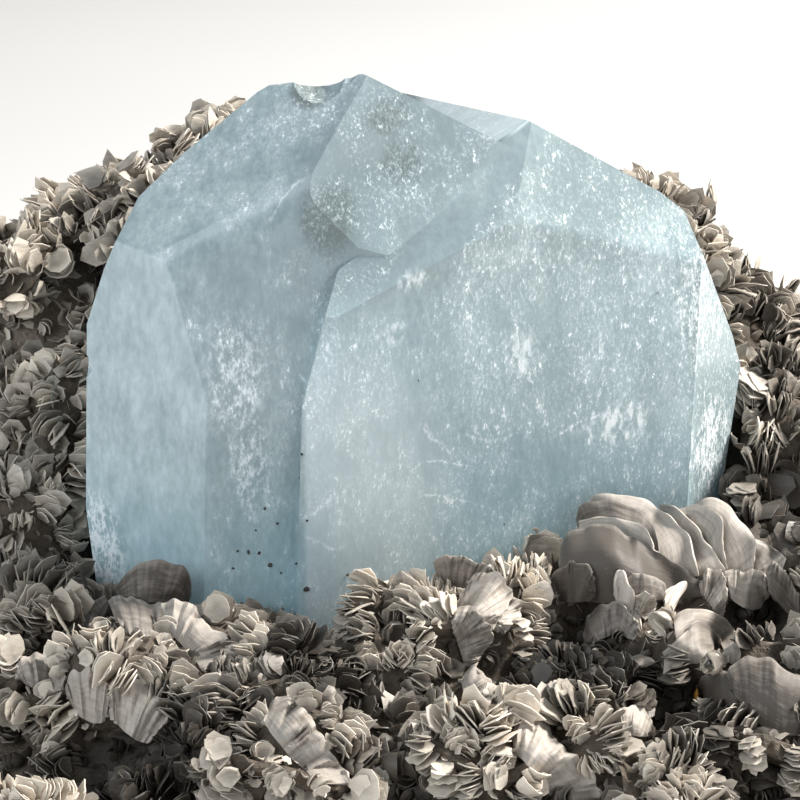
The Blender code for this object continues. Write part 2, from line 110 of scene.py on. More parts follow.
# Large smooth sheets of mica, set out as points across and up from the camera's aim. Each has the
# depth of its rim and of its foot, its bulge, folds and tone; then the rim's points, across and up,
# and the foot's, from left to right. Each stands in front of those before it.
SHEETS = (
    ((8.8, 8.2, 0.4, 0.1, 0.45),
     ((22.5, 23.2, 24, 24.6, 24.5, 24), (-8.8, -9.1, -9.6, -10.1, -10.6, -11.1)),
     ((22.4, 22.5, 22.8, 23.2), (-9.8, -10.5, -11.2, -11.8))),
    ((8.3, 7.6, 0.6, 0.1, 0.45),
     ((18.7, 19.4, 20.2, 20.9, 21.7, 22.3, 22.7, 22.6, 22.5),
      (-6.6, -6.3, -6.2, -6.6, -7.6, -8.4, -8.9, -9.8, -10.9)),
     ((19.1, 19.8, 20.3, 20.4, 20.5, 20.8, 21.3), (-7.5, -7.7, -8.4, -9.2, -10.1, -11.1, -11.9))),
    ((7.6, 7.2, 0.5, 0.08, 0.42),
     ((17.8, 18.7, 19.6, 20.3, 20.6, 20.5, 20.6, 20.9),
      (-6.9, -6.6, -6.8, -7.4, -8, -8.8, -9.7, -10.9)),
     ((18.2, 18.7, 19, 19.4, 19.8, 20.3, 20.7), (-7.8, -8.4, -8.9, -9.6, -10.3, -11.1, -11.8))),
    ((7, 6.2, 0.3, 0.08, 0.5),
     ((16.5, 17.3, 18, 18.6, 19.1, 19.2, 19.7, 20.3, 20.7, 20.7),
      (-6.6, -6.7, -7.1, -7.7, -8.4, -8.9, -9.3, -9.9, -10.6, -11.3)),
     ((16.6, 17.2, 17.8, 18.2, 18.5, 18.7, 18.9, 19.5),
      (-7.6, -8, -8.6, -9.3, -10, -10.6, -11.3, -12))),
    ((6, 4.8, 0.3, 0.08, 0.48),
     ((12.1, 12.2, 13, 14.4, 15.5, 16.3, 17.1, 17.8, 18.3, 18.7, 18.8, 19),
      (-6.5, -6, -5.9, -6.1, -6.2, -6.7, -7.3, -8, -8.8, -9.5, -10.4, -11.2)),
     ((12.2, 13, 14.4, 15.3, 15.8, 16.2, 16.3, 16.6, 17.3),
      (-7.2, -7.2, -7.3, -7.8, -8.5, -9.2, -10, -10.8, -11.6))),
    ((5, 4.6, 0.3, 0.06, 0.14),
     ((11.2, 11.3, 11.6, 13.1, 14.5, 15.5, 16.2, 16.4, 16.5, 16.7),
      (-7.6, -6.8, -6.5, -6.4, -6.6, -7.2, -8, -8.8, -9.7, -10.6)),
     ((11.4, 12.2, 13.1, 14.5, 15.3, 15.7, 15.9, 16.3, 16.6),
      (-8.4, -8.3, -8.2, -8.3, -8.6, -9.2, -9.8, -10.4, -11.1))),
    ((4.5, 3.3, 0, 0.06, 0.5),
     ((11.4, 12.5, 13.8, 14.8, 15.6, 16, 16.2, 17.9),
      (-7.8, -7.5, -7.5, -7.7, -8.1, -8.8, -9.6, -10.8)),
     ((11.4, 12.8, 14, 14.9, 15.6, 16.3, 17, 18.1), (-8.3, -8.2, -8.5, -9.4, -9.7, -10, -10.4, -11.1))),
    ((3.2, 3.4, 1.3, 0.1, -0.14),
     ((10.1, 10.1, 10.5, 11.5, 12.8, 14, 14.9, 16.3, 17.7, 19.5),
      (-10.5, -9.5, -8.5, -7.9, -7.8, -8.2, -9, -9.6, -10.4, -11.8)),
     ((10.8, 12.4, 14, 15.6, 17.4, 19.4), (-12.8, -12.9, -13, -12.9, -12.8, -12.5))),
    ((2, 2.2, 0.6, 0.45, -0.1),
     ((9.5, 9.7, 10.3, 10.8, 11.5, 12.1, 12.4, 12.3),
      (-11.7, -11.1, -10.6, -10.4, -10.3, -10.7, -11.3, -12.1)),
     ((9.7, 10.4, 11.2, 12.2), (-12.7, -12.9, -12.9, -12.8))),
    ((5.2, 5.6, 0.6, 0.4, 0.22),
     ((22.8, 23.2, 23.7, 24.3, 24.7, 24.9, 25.4), (-10.7, -10.4, -10.3, -10.6, -11, -11.6, -12.5)),
     ((23.2, 23.6, 24, 24.4, 24.9, 25.5), (-11.8, -12.3, -12.8, -13.3, -13.8, -14.2))),
    ((4.6, 5, 0.6, 0.45, 0.28),
     ((20.5, 21.2, 22, 22.7, 23.2, 23.3), (-11, -10.8, -10.9, -10.8, -11, -11.5)),
     ((20.7, 21.2, 21.8, 22.4, 23, 23.3), (-12.1, -12.8, -13.2, -13.4, -13.3, -12.6))),
    ((1.2, 1.4, 0.4, 0.3, 0.12),
     ((14.3, 14.5, 14.9, 15.5, 16.2, 16.9, 17), (-11.6, -11.3, -11, -11, -11.2, -11.7, -12.3)),
     ((14.5, 15.2, 16.1, 16.8), (-12.5, -12.7, -12.8, -12.7))),
    ((3, 3.2, 0.5, 0.4, 0.45),
     ((19.3, 19.6, 20.1, 20.5, 20.8, 20.9, 20.7, 20.6),
      (-11.2, -10.7, -10.6, -10.9, -11.5, -12.5, -13.3, -13.9)),
     ((19.3, 19.5, 19.9, 20.1, 20.4), (-12.1, -12.7, -13.2, -13.6, -14))),
    ((0.2, 0.6, 0.3, 0.25, 0.45),
     ((17.4, 17.7, 18.3, 19.1, 20.1, 20.8, 21.3, 21.5, 21.7, 21.5),
      (-13.9, -13.5, -13.2, -13.2, -13.5, -14, -14.6, -15.4, -16.2, -16.9)),
     ((17.6, 18.4, 19.3, 20, 20.4, 20.7, 20.8), (-15.2, -14.6, -14.5, -14.8, -15.4, -16.1, -16.7))),
    ((-0.8, -0.4, 0.4, 0.12, 0.36),
     ((16.7, 17.2, 17.9, 18.6, 19.2, 19.8, 20.3, 20.5),
      (-16.1, -15.6, -15, -14.3, -14.2, -14.5, -14.9, -15.2)),
     ((17, 17.7, 18.4, 19, 19.5, 20, 20.4), (-16.6, -16.6, -16.8, -16.8, -16.5, -16.1, -15.7))),
    ((-6.4, -6.2, 0.5, 0.15, 0.2),
     ((14.4, 14.8, 15.3, 16, 16.4, 16.9), (-16.9, -16.4, -16.2, -16.4, -16.9, -17.4)),
     ((14.6, 15.2, 15.9, 16.6), (-17.5, -17.7, -17.7, -17.6))),
    ((-8.6, -8.6, 0.8, 0.2, -0.1),
     ((18.9, 19.2, 19.9, 20.8, 21.3, 21.7), (-18.3, -17.6, -17.3, -17.4, -17.9, -18.6)),
     ((19.1, 19.9, 20.8, 21.6), (-19.2, -19.5, -19.6, -19.4))),
    ((-9.6, -8.8, 1.2, 0.25, 0.02),
     ((20.8, 21, 21.6, 22.2, 23, 23.8, 24.4, 24.9, 25.7),
      (-17.5, -17, -16.5, -16.1, -16.3, -16.7, -17.1, -17.4, -17.5)),
     ((21.1, 21.6, 22.3, 23.2, 24.4, 25.7), (-18.4, -19.2, -20.1, -20.9, -21.4, -21.4))),
    ((-12.6, -12.4, 0.5, 0.4, 0.62),
     ((13.8, 14.1, 14.6, 15.3, 15.8, 16.1, 16), (-20.2, -19.6, -19.5, -19.5, -19.9, -20.5, -21.5)),
     ((14, 14.7, 15.3, 15.9), (-21.6, -21.8, -21.8, -21.8))),
    ((-4.2, -3.6, 0.3, 0.5, 0.25),
     ((2.1, 2.5, 3, 3.9, 4.6, 5.3, 5.9, 6.1), (-10.4, -10, -9.9, -9.9, -10.3, -10.4, -10.8, -11.4)),
     ((2.5, 3.5, 4.1, 4.8, 5.5), (-11.7, -11.9, -12, -12.1, -12.1))),
    ((-4.8, -4.6, 0.4, 0.8, 0.66),
     ((6.4, 6.8, 7.3, 7.9, 7.7, 7.6, 7.1, 6.8, 6.2),
      (-12.2, -12.3, -12.5, -12.9, -13.4, -14, -14.4, -14.8, -14.8)),
     ((6.1, 6.2, 6.2, 6.1, 5.8), (-13.1, -13.4, -13.9, -14.3, -14.6))),
    ((-5.2, -4.6, 0.8, 0.7, 0.55),
     ((4.4, 4.6, 5.2, 6.1, 6.7, 7, 7.1, 6.9, 6.5, 5.8),
      (-11.6, -11.1, -10.9, -11, -11.3, -11.8, -12.3, -13.2, -13.9, -14.6)),
     ((3.6, 4, 4.6, 5.1, 5.3, 5.5), (-13.1, -13.3, -13.4, -13.7, -14.2, -14.6))),
    ((-6.2, -5.8, 0.5, 0.7, 0.42),
     ((3.5, 3.6, 4.4, 5.3, 5.9, 5.8, 5.2, 4.7), (-13.6, -13.1, -13, -13.7, -14.6, -15.6, -16.2, -17)),
     ((3.3, 3.5, 3.7, 3.9, 4.1), (-14.2, -14.9, -15.6, -16.2, -16.9))),
    ((-8.2, -8, 0.5, 0.45, 0.5),
     ((4.1, 4.6, 5.3, 5.9, 6.1, 5.8, 5.5), (-17.4, -16.9, -17.4, -17.9, -18.5, -19.2, -19.8)),
     ((3.9, 4, 4.4, 4.9), (-17.9, -18.5, -19.1, -19.7))),
    ((0.4, 0.2, 0.3, 0.3, 0.85),
     ((13.6, 13.6, 13.9, 14.2, 14.5, 14.9, 15.1, 15.3, 15.4),
      (-12.4, -11.6, -11, -11, -11.9, -12.1, -13.1, -13.9, -14.6)),
     ((13.8, 14, 14.4, 14.6, 14.9), (-12.8, -13.4, -13.9, -14.4, -14.7))),
    ((0.4, 0.2, 0.5, 0.5, 0.5),
     ((15, 15.6, 16.2, 16.4, 16.2, 15.6), (-12.5, -12.2, -12.5, -13, -13.6, -14)),
     ((15.1, 15.2, 15.4), (-13.3, -13.6, -13.8))),
    ((0, 0.2, 0.2, 0.2, 0.95),
     ((16.8, 17, 17.7, 18.3, 18.3, 17.9, 17.6, 17.2, 16.9),
      (-12.9, -12.1, -11.6, -11.5, -12, -12.5, -13.1, -13.9, -14.9)),
     ((16.8, 16.8, 16.8, 16.8), (-13.2, -13.6, -14.2, -14.7))),
    ((0.2, -0.4, 0.3, 0.12, 0.02),
     ((-18.2, -17.7, -17.1, -16.6, -16, -15.3, -14.7, -13.9, -13.6, -13.3, -13.3),
      (-12, -11.4, -10.8, -10.3, -10.2, -10.3, -10.4, -10.3, -10.9, -11.8, -12.5)),
     ((-17.9, -16.8, -16.1, -15.2, -14.4, -13.6), (-12.6, -12.8, -12.9, -12.9, -13, -13.2))),
    ((-1, -2, 0.4, 0.2, 0.12),
     ((-21.6, -21.4, -20.9, -20.4, -19.6, -18.8), (-15.7, -14.9, -14.1, -13.4, -12.8, -12.4)),
     ((-21.1, -20.5, -19.9, -19.3, -18.8, -18.5), (-15.9, -15.7, -15.1, -14.6, -13.7, -13))),
    ((-0.8, -4, 0.5, 0.5, 0.35),
     ((-18.6, -18.2, -17.3, -16.4, -15.8, -15.2, -14.8),
      (-12.8, -12.4, -12.6, -12.8, -13, -12.9, -13.2)),
     ((-17.9, -17.1, -16.4, -15.5, -14.8), (-14.6, -15, -15.1, -15, -14.7))),
    ((-4, -8, 0.9, 0.6, 0.55),
     ((-15.2, -14.7, -13.9, -13.2, -12.5, -11.9, -11.1, -10.6, -11, -11.6, -12.2),
      (-13, -12.7, -12.8, -13.1, -13.8, -14.6, -15, -15.6, -16.1, -16.5, -17.1)),
     ((-14.8, -14.4, -13.9, -13.5, -13, -12.6), (-14.7, -15.1, -15.6, -16.1, -16.6, -17.3))),
    ((-13.5, -14.5, 0.7, 0.45, 0.5),
     ((-21.3, -21.2, -20.6, -19.6, -19, -18.5, -18.5),
      (-18.7, -17.7, -17.1, -17.1, -17.6, -18.4, -19.2)),
     ((-20.9, -20.4, -19.6, -19, -18.7), (-19.5, -20.2, -20.6, -20.6, -20))),
    ((-14.2, -15.2, 0.7, 0.45, 0.62),
     ((-18.4, -18.3, -17.3, -16.4, -15.4, -14.7, -14.9, -15.4),
      (-18.9, -18.1, -17.5, -18, -18.8, -19.7, -20.6, -21.1)),
     ((-18.2, -17.6, -16.8, -16.1, -15.7), (-20.4, -21.1, -21.7, -21.9, -21.7))),
    ((-6, -12, 0.6, 0.5, 0.45),
     ((-24.6, -24.3, -23.9, -23.1, -22.3, -21.6, -21.3),
      (-17.3, -16.6, -16.3, -16.1, -16.2, -16.8, -17.6)),
     ((-23.9, -23.3, -22.7, -22.1, -21.5), (-18.1, -18.4, -18.5, -18.6, -18.5))),
    ((-17, -21, 0.8, 0.6, 0.5),
     ((-8.2, -7.8, -7.2, -6.5, -5.7, -5.2, -4.6, -3.7, -3.1),
      (-19.2, -18.8, -18.7, -19.1, -20, -21.1, -22.2, -23.2, -24.4)),
     ((-8.7, -8.2, -7.6, -6.9, -6, -5.2), (-20.4, -21.3, -22, -22.9, -23.6, -24.5))),
    ((-17, -20.5, 1, 0.7, 0.68),
     ((7.2, 7.5, 8.1, 8.8, 9.5, 9.9, 10.6, 11.4, 12.2, 12.6, 13),
      (-21.1, -20.5, -20.2, -20.3, -20.8, -21.6, -22.2, -22.8, -23.7, -24.7, -25.5)),
     ((7.2, 7.8, 8.3, 8.9, 9.3, 9.8), (-22.5, -22.9, -23.5, -24.2, -24.9, -25.5))),
    ((-2.2, -4.8, 0.6, 0.5, 0.25),
     ((11.7, 11.7, 12, 12.6, 13.4, 14.1, 14.7, 15.2, 15.3),
      (-15.9, -14.7, -13.7, -13.1, -12.8, -12.9, -13.6, -14.3, -14.7)),
     ((12.2, 12.5, 12.6, 13.2, 13.9, 14.5, 14.9), (-16.6, -15.9, -15.3, -15.1, -14.7, -15.2, -15.3))),
)
SHEET_COLUMNS = 44
SHEET_SEED = 23
SHEET_ROWS = (0.0, 0.14, 0.28, 0.42, 0.56, 0.69, 0.8, 0.88, 0.94, 0.98, 1.0)
SHEET_THICKNESS = 0.26
SHEET_GAP = 0.3
# Painted shade on the mica's hollows, where the amount is below 0, and painted light on its lumps,
# across and up from the camera's aim: place, reach and amount.
PAINTED_LIGHT_AND_SHADE = (
    ((-16.6, -23.9), (3.5, 3.0), -2.2),
    ((-13.2, -21.6), (3.4, 2.4), -0.9),
    ((-22.9, -11.8), (3.8, 2.9), -0.6),
    ((-16.5, -12.8), (3.6, 2.0), -0.4),
    ((-7.6, -14.7), (2.9, 2.2), -0.5),
    ((-6.4, -16.9), (2.2, 1.9), -0.8),
    ((-3.8, -19.1), (1.9, 1.6), -0.8),
    ((-0.6, -23.3), (2.5, 2.5), -0.5),
    ((12.6, -17.2), (5.2, 2.6), -1.1),
    ((8.6, -18.6), (2.0, 1.6), -0.8),
    ((7.6, -22.0), (3.2, 2.0), 0.6),
    ((12.1, -24.2), (2.2, 1.6), 0.7),
    ((18.5, -21.8), (3.8, 2.6), -0.8),
    ((18.2, -18.6), (2.2, 1.4), -0.7),
    ((24.4, -18.6), (2.2, 3.4), -0.8),
    ((22.5, -13.8), (2.8, 1.4), -0.9),
    ((-6.4, -21.8), (1.8, 1.4), 0.5),
    ((-3.8, -24.4), (1.8, 1.2), 0.5),
    ((-24.0, -24.2), (2.4, 1.6), 0.4),
    ((24.4, -6.5), (2.6, 3.6), -0.8),
    ((21.5, -7.5), (1.6, 2.0), -0.5),
    ((-21.7, 4.0), (2.6, 4.0), 0.35),
    ((-24.2, 3.4), (1.9, 1.9), 0.8),
    ((-22.0, 6.8), (2.8, 2.2), 0.5),
    ((-24.0, -18.2), (2.2, 1.6), -0.3),
    ((-11.4, -18.8), (1.6, 1.4), 0.4),
    ((0.8, -19.0), (2.2, 1.6), 0.4),
    ((24.2, 1.4), (1.6, 1.4), -0.6),
    ((22.0, -3.8), (1.5, 1.4), 0.5),
)
# The largest rosettes: foot and radius.
LARGE_ROSETTES = (
    ((2.8, -5.0, -1.8), 6.0),
    ((14.6, 2.8, -1.6), 7.2),
    ((21.5, 5.0, -0.5), 6.4),
    ((15.6, -4.0, -3.0), 5.0),
    ((23.0, -12.0, -4.0), 6.4),
    ((-17.0, 0.0, -3.0), 5.0),
    ((-12.6, -7.0, -2.6), 5.4),
    ((-6.0, -18.5, -3.4), 6.0),
    ((5.0, -18.0, -3.4), 6.0),
)

# What grows on the core: the seed of the tufts' shapes, how high they reach and how densely the
# trees may place them, in tufts for each square metre.
TUFT_SEED = 5
TUFT_HEIGHTS = (1.2, 2.3)
DENSEST = 4.0e6

# Healed cracks that show as fine curved lines: circle's middle and radius, where the line shows and
# how far from there, and its width.
HEALED_CRACKS = (
    ((3.0, 13.6), 10.4, (13.2, 13.3), (1.6, 3.6), 0.22),
    ((-12.0, 4.0), 22.5, (8.8, 12.2), (2.4, 5.0), 0.20),
    ((6.0, 13.0), 4.8, (2.3, 10.3), (2.0, 2.0), 0.26),
    ((6.5, 14.5), 5.0, (5.6, 9.7), (2.4, 1.4), 0.24),
    ((2.0, 2.5), 6.0, (2.6, 8.4), (3.0, 1.2), 0.14),
    ((1.0, -0.5), 6.8, (3.2, 5.9), (2.4, 1.4), 0.14),
    ((-3.5, 7.5), 3.9, (-5.0, 3.9), (1.8, 1.0), 0.18),
    ((-7.6, 9.4), 3.8, (-5.2, 6.8), (1.4, 1.4), 0.20),
    ((14.0, 2.0), 8.0, (11.5, 9.6), (2.4, 1.4), 0.20),
    ((-2.5, 22.5), 6.2, (-7.4, 26.0), (2.6, 2.4), 0.16),
)
# Zones of the crystal's faces, each an upright ellipse over x and z: middle, reach and, where several
# are summed, amount.
SMOKE = (((-4.0, 24.0), (4.4, 5.8), 1.0), ((-0.8, 29.2), (3.6, 2.8), 1.0))
FAINT_SMOKE = (((10.0, 13.0), (3.4, 7.0), 0.30), ((17.5, 11.0), (2.4, 3.6), 0.25))
FROST = (((-10.5, 15.0), (2.3, 4.8)), ((-9.6, 9.0), (1.6, 4.6)))
CLOTS = (
    ((7.9, 15.3), (1.4, 2.0), 0.7),
    ((1.4, 21.1), (1.7, 1.0), 0.9),
    ((-0.4, 17.8), (1.2, 1.0), 0.7),
    ((14.2, 9.3), (3.2, 1.7), 1.0),
)
MURK = (
    ((-0.8, 31.0), (1.9, 1.5), 1.0),
    ((0.2, 28.0), (1.7, 2.1), 1.0),
    ((-4.6, 25.0), (2.4, 3.0), 1.0),
)
# The glitter and rough zones also place painted glints, besides a stronger bump.
GLITTER = ((20.6, 17.0), (2.8, 5.2))
ROUGH = (((-20.2, 1.5), (2.6, 5.0)), ((21.2, 5.5), (1.8, 4.6)))
STRIPES = ((-0.6, 2.5), (3.6, 5.0))
# The crest, shoulder and SHADED zones place painted shade, SHADED's negative amount painted light.
CREST = ((0.8, 27.0), (8.0, 8.5))
SHOULDER = ((13.0, 26.0), (7.0, 5.0))
SHADED = (((-8.8, 20.0), (4.5, 6.0), 0.4), ((2.4, 21.4), (4.2, 3.2), -0.8))
# The chip's zone: painted shade.
CHIP_SHADE = ((-5.9, 32.1), (1.5, 1.1))
# Painted light on the right individual's left strips.
PAINTED_LIGHT_ZONE = ((-4.5, 5.5), (9.5, 13.5))
# Colours, first the mica's and then the crystal's.
MICA_BROWN = (0.09, 0.076, 0.062)
MICA_CREAM = (0.74, 0.665, 0.57)
# Painted shade in the mica's deepest hollows.
MICA_HOLLOW_SHADE = (0.022, 0.017, 0.012)
SHEET_BROWN = (0.085, 0.071, 0.059)
SHEET_CREAM = (0.62, 0.56, 0.50)
CORE_DARK = (0.02, 0.014, 0.010)
CORE_BROWN = (0.16, 0.125, 0.09)
# Painted shade in the core's hollows, then painted light on its pale zones.
CORE_HOLLOW_SHADE = (0.010, 0.008, 0.006)
CORE_PAINTED_LIGHT = (0.34, 0.28, 0.22)
DEEP_BLUE = (0.35, 0.465, 0.50)
MILKY_BLUE = (0.65, 0.76, 0.795)
SMOKY = (0.34, 0.40, 0.41)
BROAD_BLUE = (0.66, 0.90, 0.98)
# Painted light on the crystal's foot.
FOOT_PAINTED_LIGHT = (0.58, 0.87, 0.97)
# Painted shade on faces that the lamps light too much.
SHADE_BLUE = (0.36, 0.455, 0.485)
# Smoky murk, and painted shade on the chip.
MURK_AND_CHIP_SHADE = (0.20, 0.24, 0.24)
# Painted light on faces that the lamps leave too dark.
PAINTED_LIGHT_BLUE = (0.80, 0.92, 0.96)
# The flecks' white, also the colour of painted glints.
SNOW = (0.93, 0.97, 1.0)
CLEAR = (0.93, 0.98, 1.0)
DEPTHS = (0.62, 0.86, 0.90)
BARITE_IOR = 1.60
# Edges worn round more than the rest: the bearing and rise of the faces on each side, and the width.
SOFT_EDGES = (((24, 0), (32, 23), 1.5), ((-1, 9), (-22, 40), 1.2), ((-22, 40), (16, 24), 0.5))
WORN_WIDTH = 0.14
# Dark grains on the front faces: x, z and size.
GRAIN_SEED = 31
DARK_GRAINS = (
    (-8.8, 5.9, 0.26), (-8.0, 4.8, 0.22), (-9.4, 4.4, 0.16), (-9.9, 2.9, 0.30), (-10.6, 3.0, 0.20),
    (-9.2, 2.8, 0.24), (-8.5, 1.9, 0.34), (-10.9, 1.8, 0.18), (-7.8, 1.3, 0.18), (-6.8, 1.9, 0.20),
    (-6.3, 10.3, 0.18), (-6.5, 7.9, 0.16), (-6.0, 5.7, 0.20), (-6.1, 0.9, 0.42), (-3.0, 0.4, 0.34),
    (-2.6, -0.6, 0.24), (-3.4, 1.7, 0.22), (6.9, 3.4, 0.14), (1.2, 14.4, 0.14), (17.0, 18.0, 0.12),
)

# Lights: place in metres, watts, size and colour.
LIGHTS = (
    ("key", (0.26, 0.10, 0.26), 3.2, 0.09, (1.0, 0.96, 0.90)),
    ("fill", (-0.30, -0.22, 0.20), 0.9, 0.30, (0.88, 0.95, 1.0)),
    ("front", (0.20, -0.34, 0.10), 0.45, 0.30, (0.92, 0.97, 1.0)),
)
SKY = (0.92, 0.96, 1.0, 1.0)
SKY_STRENGTH = 0.32

# ---------------------------------------------------------------- finishes


class Value:
    """A socket of a node tree, so that maths with nodes reads as arithmetic."""

    def __init__(self, nodes, socket):
        self.nodes = nodes
        self.socket = socket

    def math(self, operation, *values, clamp=False):
        settings = {"operation": operation, "use_clamp": clamp}
        return self.nodes.node("ShaderNodeMath", settings, dict(enumerate(values)))

    def __add__(self, other):
        return self.math("ADD", self, other)

    def __radd__(self, other):
        return self.math("ADD", other, self)

    def __sub__(self, other):
        return self.math("SUBTRACT", self, other)

    def __rsub__(self, other):
        return self.math("SUBTRACT", other, self)

    def __mul__(self, other):
        return self.math("MULTIPLY", self, other)

    def __rmul__(self, other):
        return self.math("MULTIPLY", other, self)

    def __truediv__(self, other):
        return self.math("DIVIDE", self, other)

    def __rtruediv__(self, other):
        return self.math("DIVIDE", other, self)

    def __pow__(self, other):
        return self.math("POWER", self, other)

    def __neg__(self):
        return self.math("MULTIPLY", self, -1.0)

    def __abs__(self):
        return self.math("ABSOLUTE", self)

    def sine(self):
        return self.math("SINE", self)

    def clamped(self):
        return self.math("ADD", self, 0.0, clamp=True)

    def most(self, other):
        return self.math("MAXIMUM", self, other)

    def step(self, low, high):
        """0 below low, 1 above high, smooth between."""
        settings = {"interpolation_type": "SMOOTHSTEP"}
        values = {"Value": self, "From Min": low, "From Max": high}
        return self.nodes.node("ShaderNodeMapRange", settings, values)


class Nodes:
    """A node tree being made: node() is the one way a node gets into it."""

    def __init__(self, tree):
        self.tree = tree

    def node(self, kind, settings=None, values=None, output=0):
        """A new node with its settings and the values or links of its inputs; gives an output."""
        made = self.tree.nodes.new(kind)
        for key, setting in (settings or {}).items():
            setattr(made, key, setting)
        for key, value in (values or {}).items():
            if isinstance(key, str):
                socket = next(s for s in made.inputs if s.name == key and s.enabled)
            else:
                socket = made.inputs[key]
            if isinstance(value, Value):
                self.tree.links.new(value.socket, socket)
            elif socket.type == "RGBA" and len(value) == 3:
                socket.default_value = (*value, 1.0)
            else:
                socket.default_value = value
        if isinstance(output, str):
            return Value(self, next(s for s in made.outputs if s.name == output and s.enabled))
        return Value(self, made.outputs[output]) if made.outputs else made

    def joined(self, x=0.0, y=0.0, z=0.0):
        """A vector of three values."""
        return self.node("ShaderNodeCombineXYZ", None, {"X": x, "Y": y, "Z": z})


class Finish(Nodes):
    """A material being made."""

    def __init__(self, name):
        self.material = bpy.data.materials.new(name)
        self.material.use_nodes = True
        self.material.node_tree.nodes.clear()
        super().__init__(self.material.node_tree)

    def place(self):
        """Object coordinates in millimetres from the setting-out point."""
        coordinates = self.node("ShaderNodeTexCoord", output="Object")
        values = {"Vector": coordinates, "Location": -ORIGIN / MM, "Scale": (1.0 / MM,) * 3}
        return self.node("ShaderNodeMapping", None, values)

    def split(self, vector):
        """The x, y and z of a vector."""
        first = self.node("ShaderNodeSeparateXYZ", None, {"Vector": vector})
        return [Value(self, socket) for socket in first.socket.node.outputs]

    def grain(self, vector, scale, detail=3.0, roughness=0.55):
        """Noise about 0.5."""
        values = {"Vector": vector, "Scale": scale, "Detail": detail, "Roughness": roughness}
        return self.node("ShaderNodeTexNoise", None, values)

    def stretch(self, vector, scale, turn=(0.0, 0.0, 0.0)):
        """The vector with each axis scaled on its own, then turned."""
        values = {"Vector": vector, "Scale": scale, "Rotation": turn}
        return self.node("ShaderNodeMapping", None, values)

    def mark(self, name):
        """A number that the piece's mesh carries at each point."""
        return self.node("ShaderNodeAttribute", {"attribute_name": name}, None, "Fac")

    def blend(self, factor, first, second):
        """A colour between two colours."""
        settings = {"data_type": "RGBA", "clamp_factor": True}
        values = {"Factor": factor, "A": first, "B": second}
        return self.node("ShaderNodeMix", settings, values, "Result")

    def bump(self, height, distance, strength=1.0):
        values = {"Height": height, "Distance": distance, "Strength": strength}
        return self.node("ShaderNodeBump", None, values)

    def principled(self, values):
        return self.node("ShaderNodeBsdfPrincipled", None, values)

    def finished(self, shader, **others):
        self.node("ShaderNodeOutputMaterial", None, {"Surface": shader, **others})
        return self.material


def near(x, z, middle, reach):
    """1 in the middle of an upright ellipse on the crystal's front, 0 past its edge."""
    across = (x - middle[0]) / reach[0]
    up = (z - middle[1]) / reach[1]
    return 1.0 - (across * across + up * up).step(0.1, 1.0)


def zones(x, z, places):
    """Several such ellipses added up, each by its amount."""
    return sum(near(x, z, middle, reach) * amount for middle, reach, amount in places)


def widest(x, z, places):
    """The highest of several such ellipses."""
    return reduce(Value.most, [near(x, z, middle, reach) for middle, reach in places])


def flecks(one, two, share, low, high):
    """Flecks from two grains, the first of which has this share."""
    return (one * share + two * (1.0 - share)).step(low, high)


def mica_finish(name, dark, light, gloss=0.38, sheets=False):
    """Curled mica: grey-brown faces, cream rims, a pearly sheen, painted shade in the plates' hollows.
    """
    finish = Finish(name)
    place = finish.place()
    patches = finish.grain(place, 0.16, 1.0)
    tone, rim = finish.mark("tone"), finish.mark("rim")
    if sheets:
        layer, rib = finish.mark("layer"), finish.mark("rib")
        fine = finish.grain(finish.joined(rib * 0.5, layer * 4.0, tone * 40.0), 1.0, 3.0, 0.65)
        threads = finish.grain(finish.joined(rib * 4.0, layer * 0.5, tone * 40.0), 1.0, 2.0)
        share = tone + patches * 0.4 + fine * 0.75 + threads * 0.35 + rim * 0.25 - 0.75
        colour = finish.blend(share, dark, light)
    else:
        fine = finish.grain(finish.stretch(place, (1.0, 1.0, 2.5)), 1.6, 2.0)
        lift, shade = finish.mark("lift").step(0.15, 0.85), finish.mark("shade")
        share = patches * 0.9 + tone * 0.35 + finish.mark("batch") * 0.3 + fine * 0.3 + rim * 0.25
        # Painted light on lumps, painted shade in hollows and towards the right.
        share = share + lift * 0.5 + shade * 0.55 - finish.split(place)[0].step(15.0, 27.0) * 0.2
        colour = finish.blend((share - 0.98).step(0.0, 1.0), dark, light)
        # Deeper painted shade where the shade mark is darkest.
        colour = finish.blend((-0.25 - shade).step(0.0, 0.7) * 0.75, colour, MICA_HOLLOW_SHADE)
    values = {
        "Base Color": colour,
        "Roughness": gloss + fine * 0.3,
        "Specular IOR Level": 0.5,
        "Normal": finish.bump(fine, 0.08 * MM, 0.6),
    }
    return finish.finished(finish.principled(values))


def core_finish():
    """The heart of the matrix between the plates, dark brown as painted shade in the crevices."""
    finish = Finish("mica_core")
    place = finish.place()
    colour = finish.blend(finish.grain(place, 0.9, 4.0), CORE_DARK, CORE_BROWN)
    shade = finish.mark("shade")
    # Painted shade where the shade mark is dark, painted light where it is pale.
    colour = finish.blend((-0.1 - shade).step(0.0, 0.7) * 0.8, colour, CORE_HOLLOW_SHADE)
    colour = finish.blend(shade.step(0.1, 0.8) * 0.5, colour, CORE_PAINTED_LIGHT)
    values = {
        "Base Color": colour,
        "Roughness": 0.7,
        "Normal": finish.bump(finish.grain(place, 2.2, 4.0), 0.3 * MM),
    }
    return finish.finished(finish.principled(values))


def arc(x, z, middle, radius, spot, reach, width):
    """A thin curved line on the crystal's front, fading out at both ends."""
    across, up = x - middle[0], z - middle[1]
    away = (across * across + up * up) ** 0.5 - radius
    return (1.0 - abs(away).step(0.0, width)) * near(x, z, spot, reach)


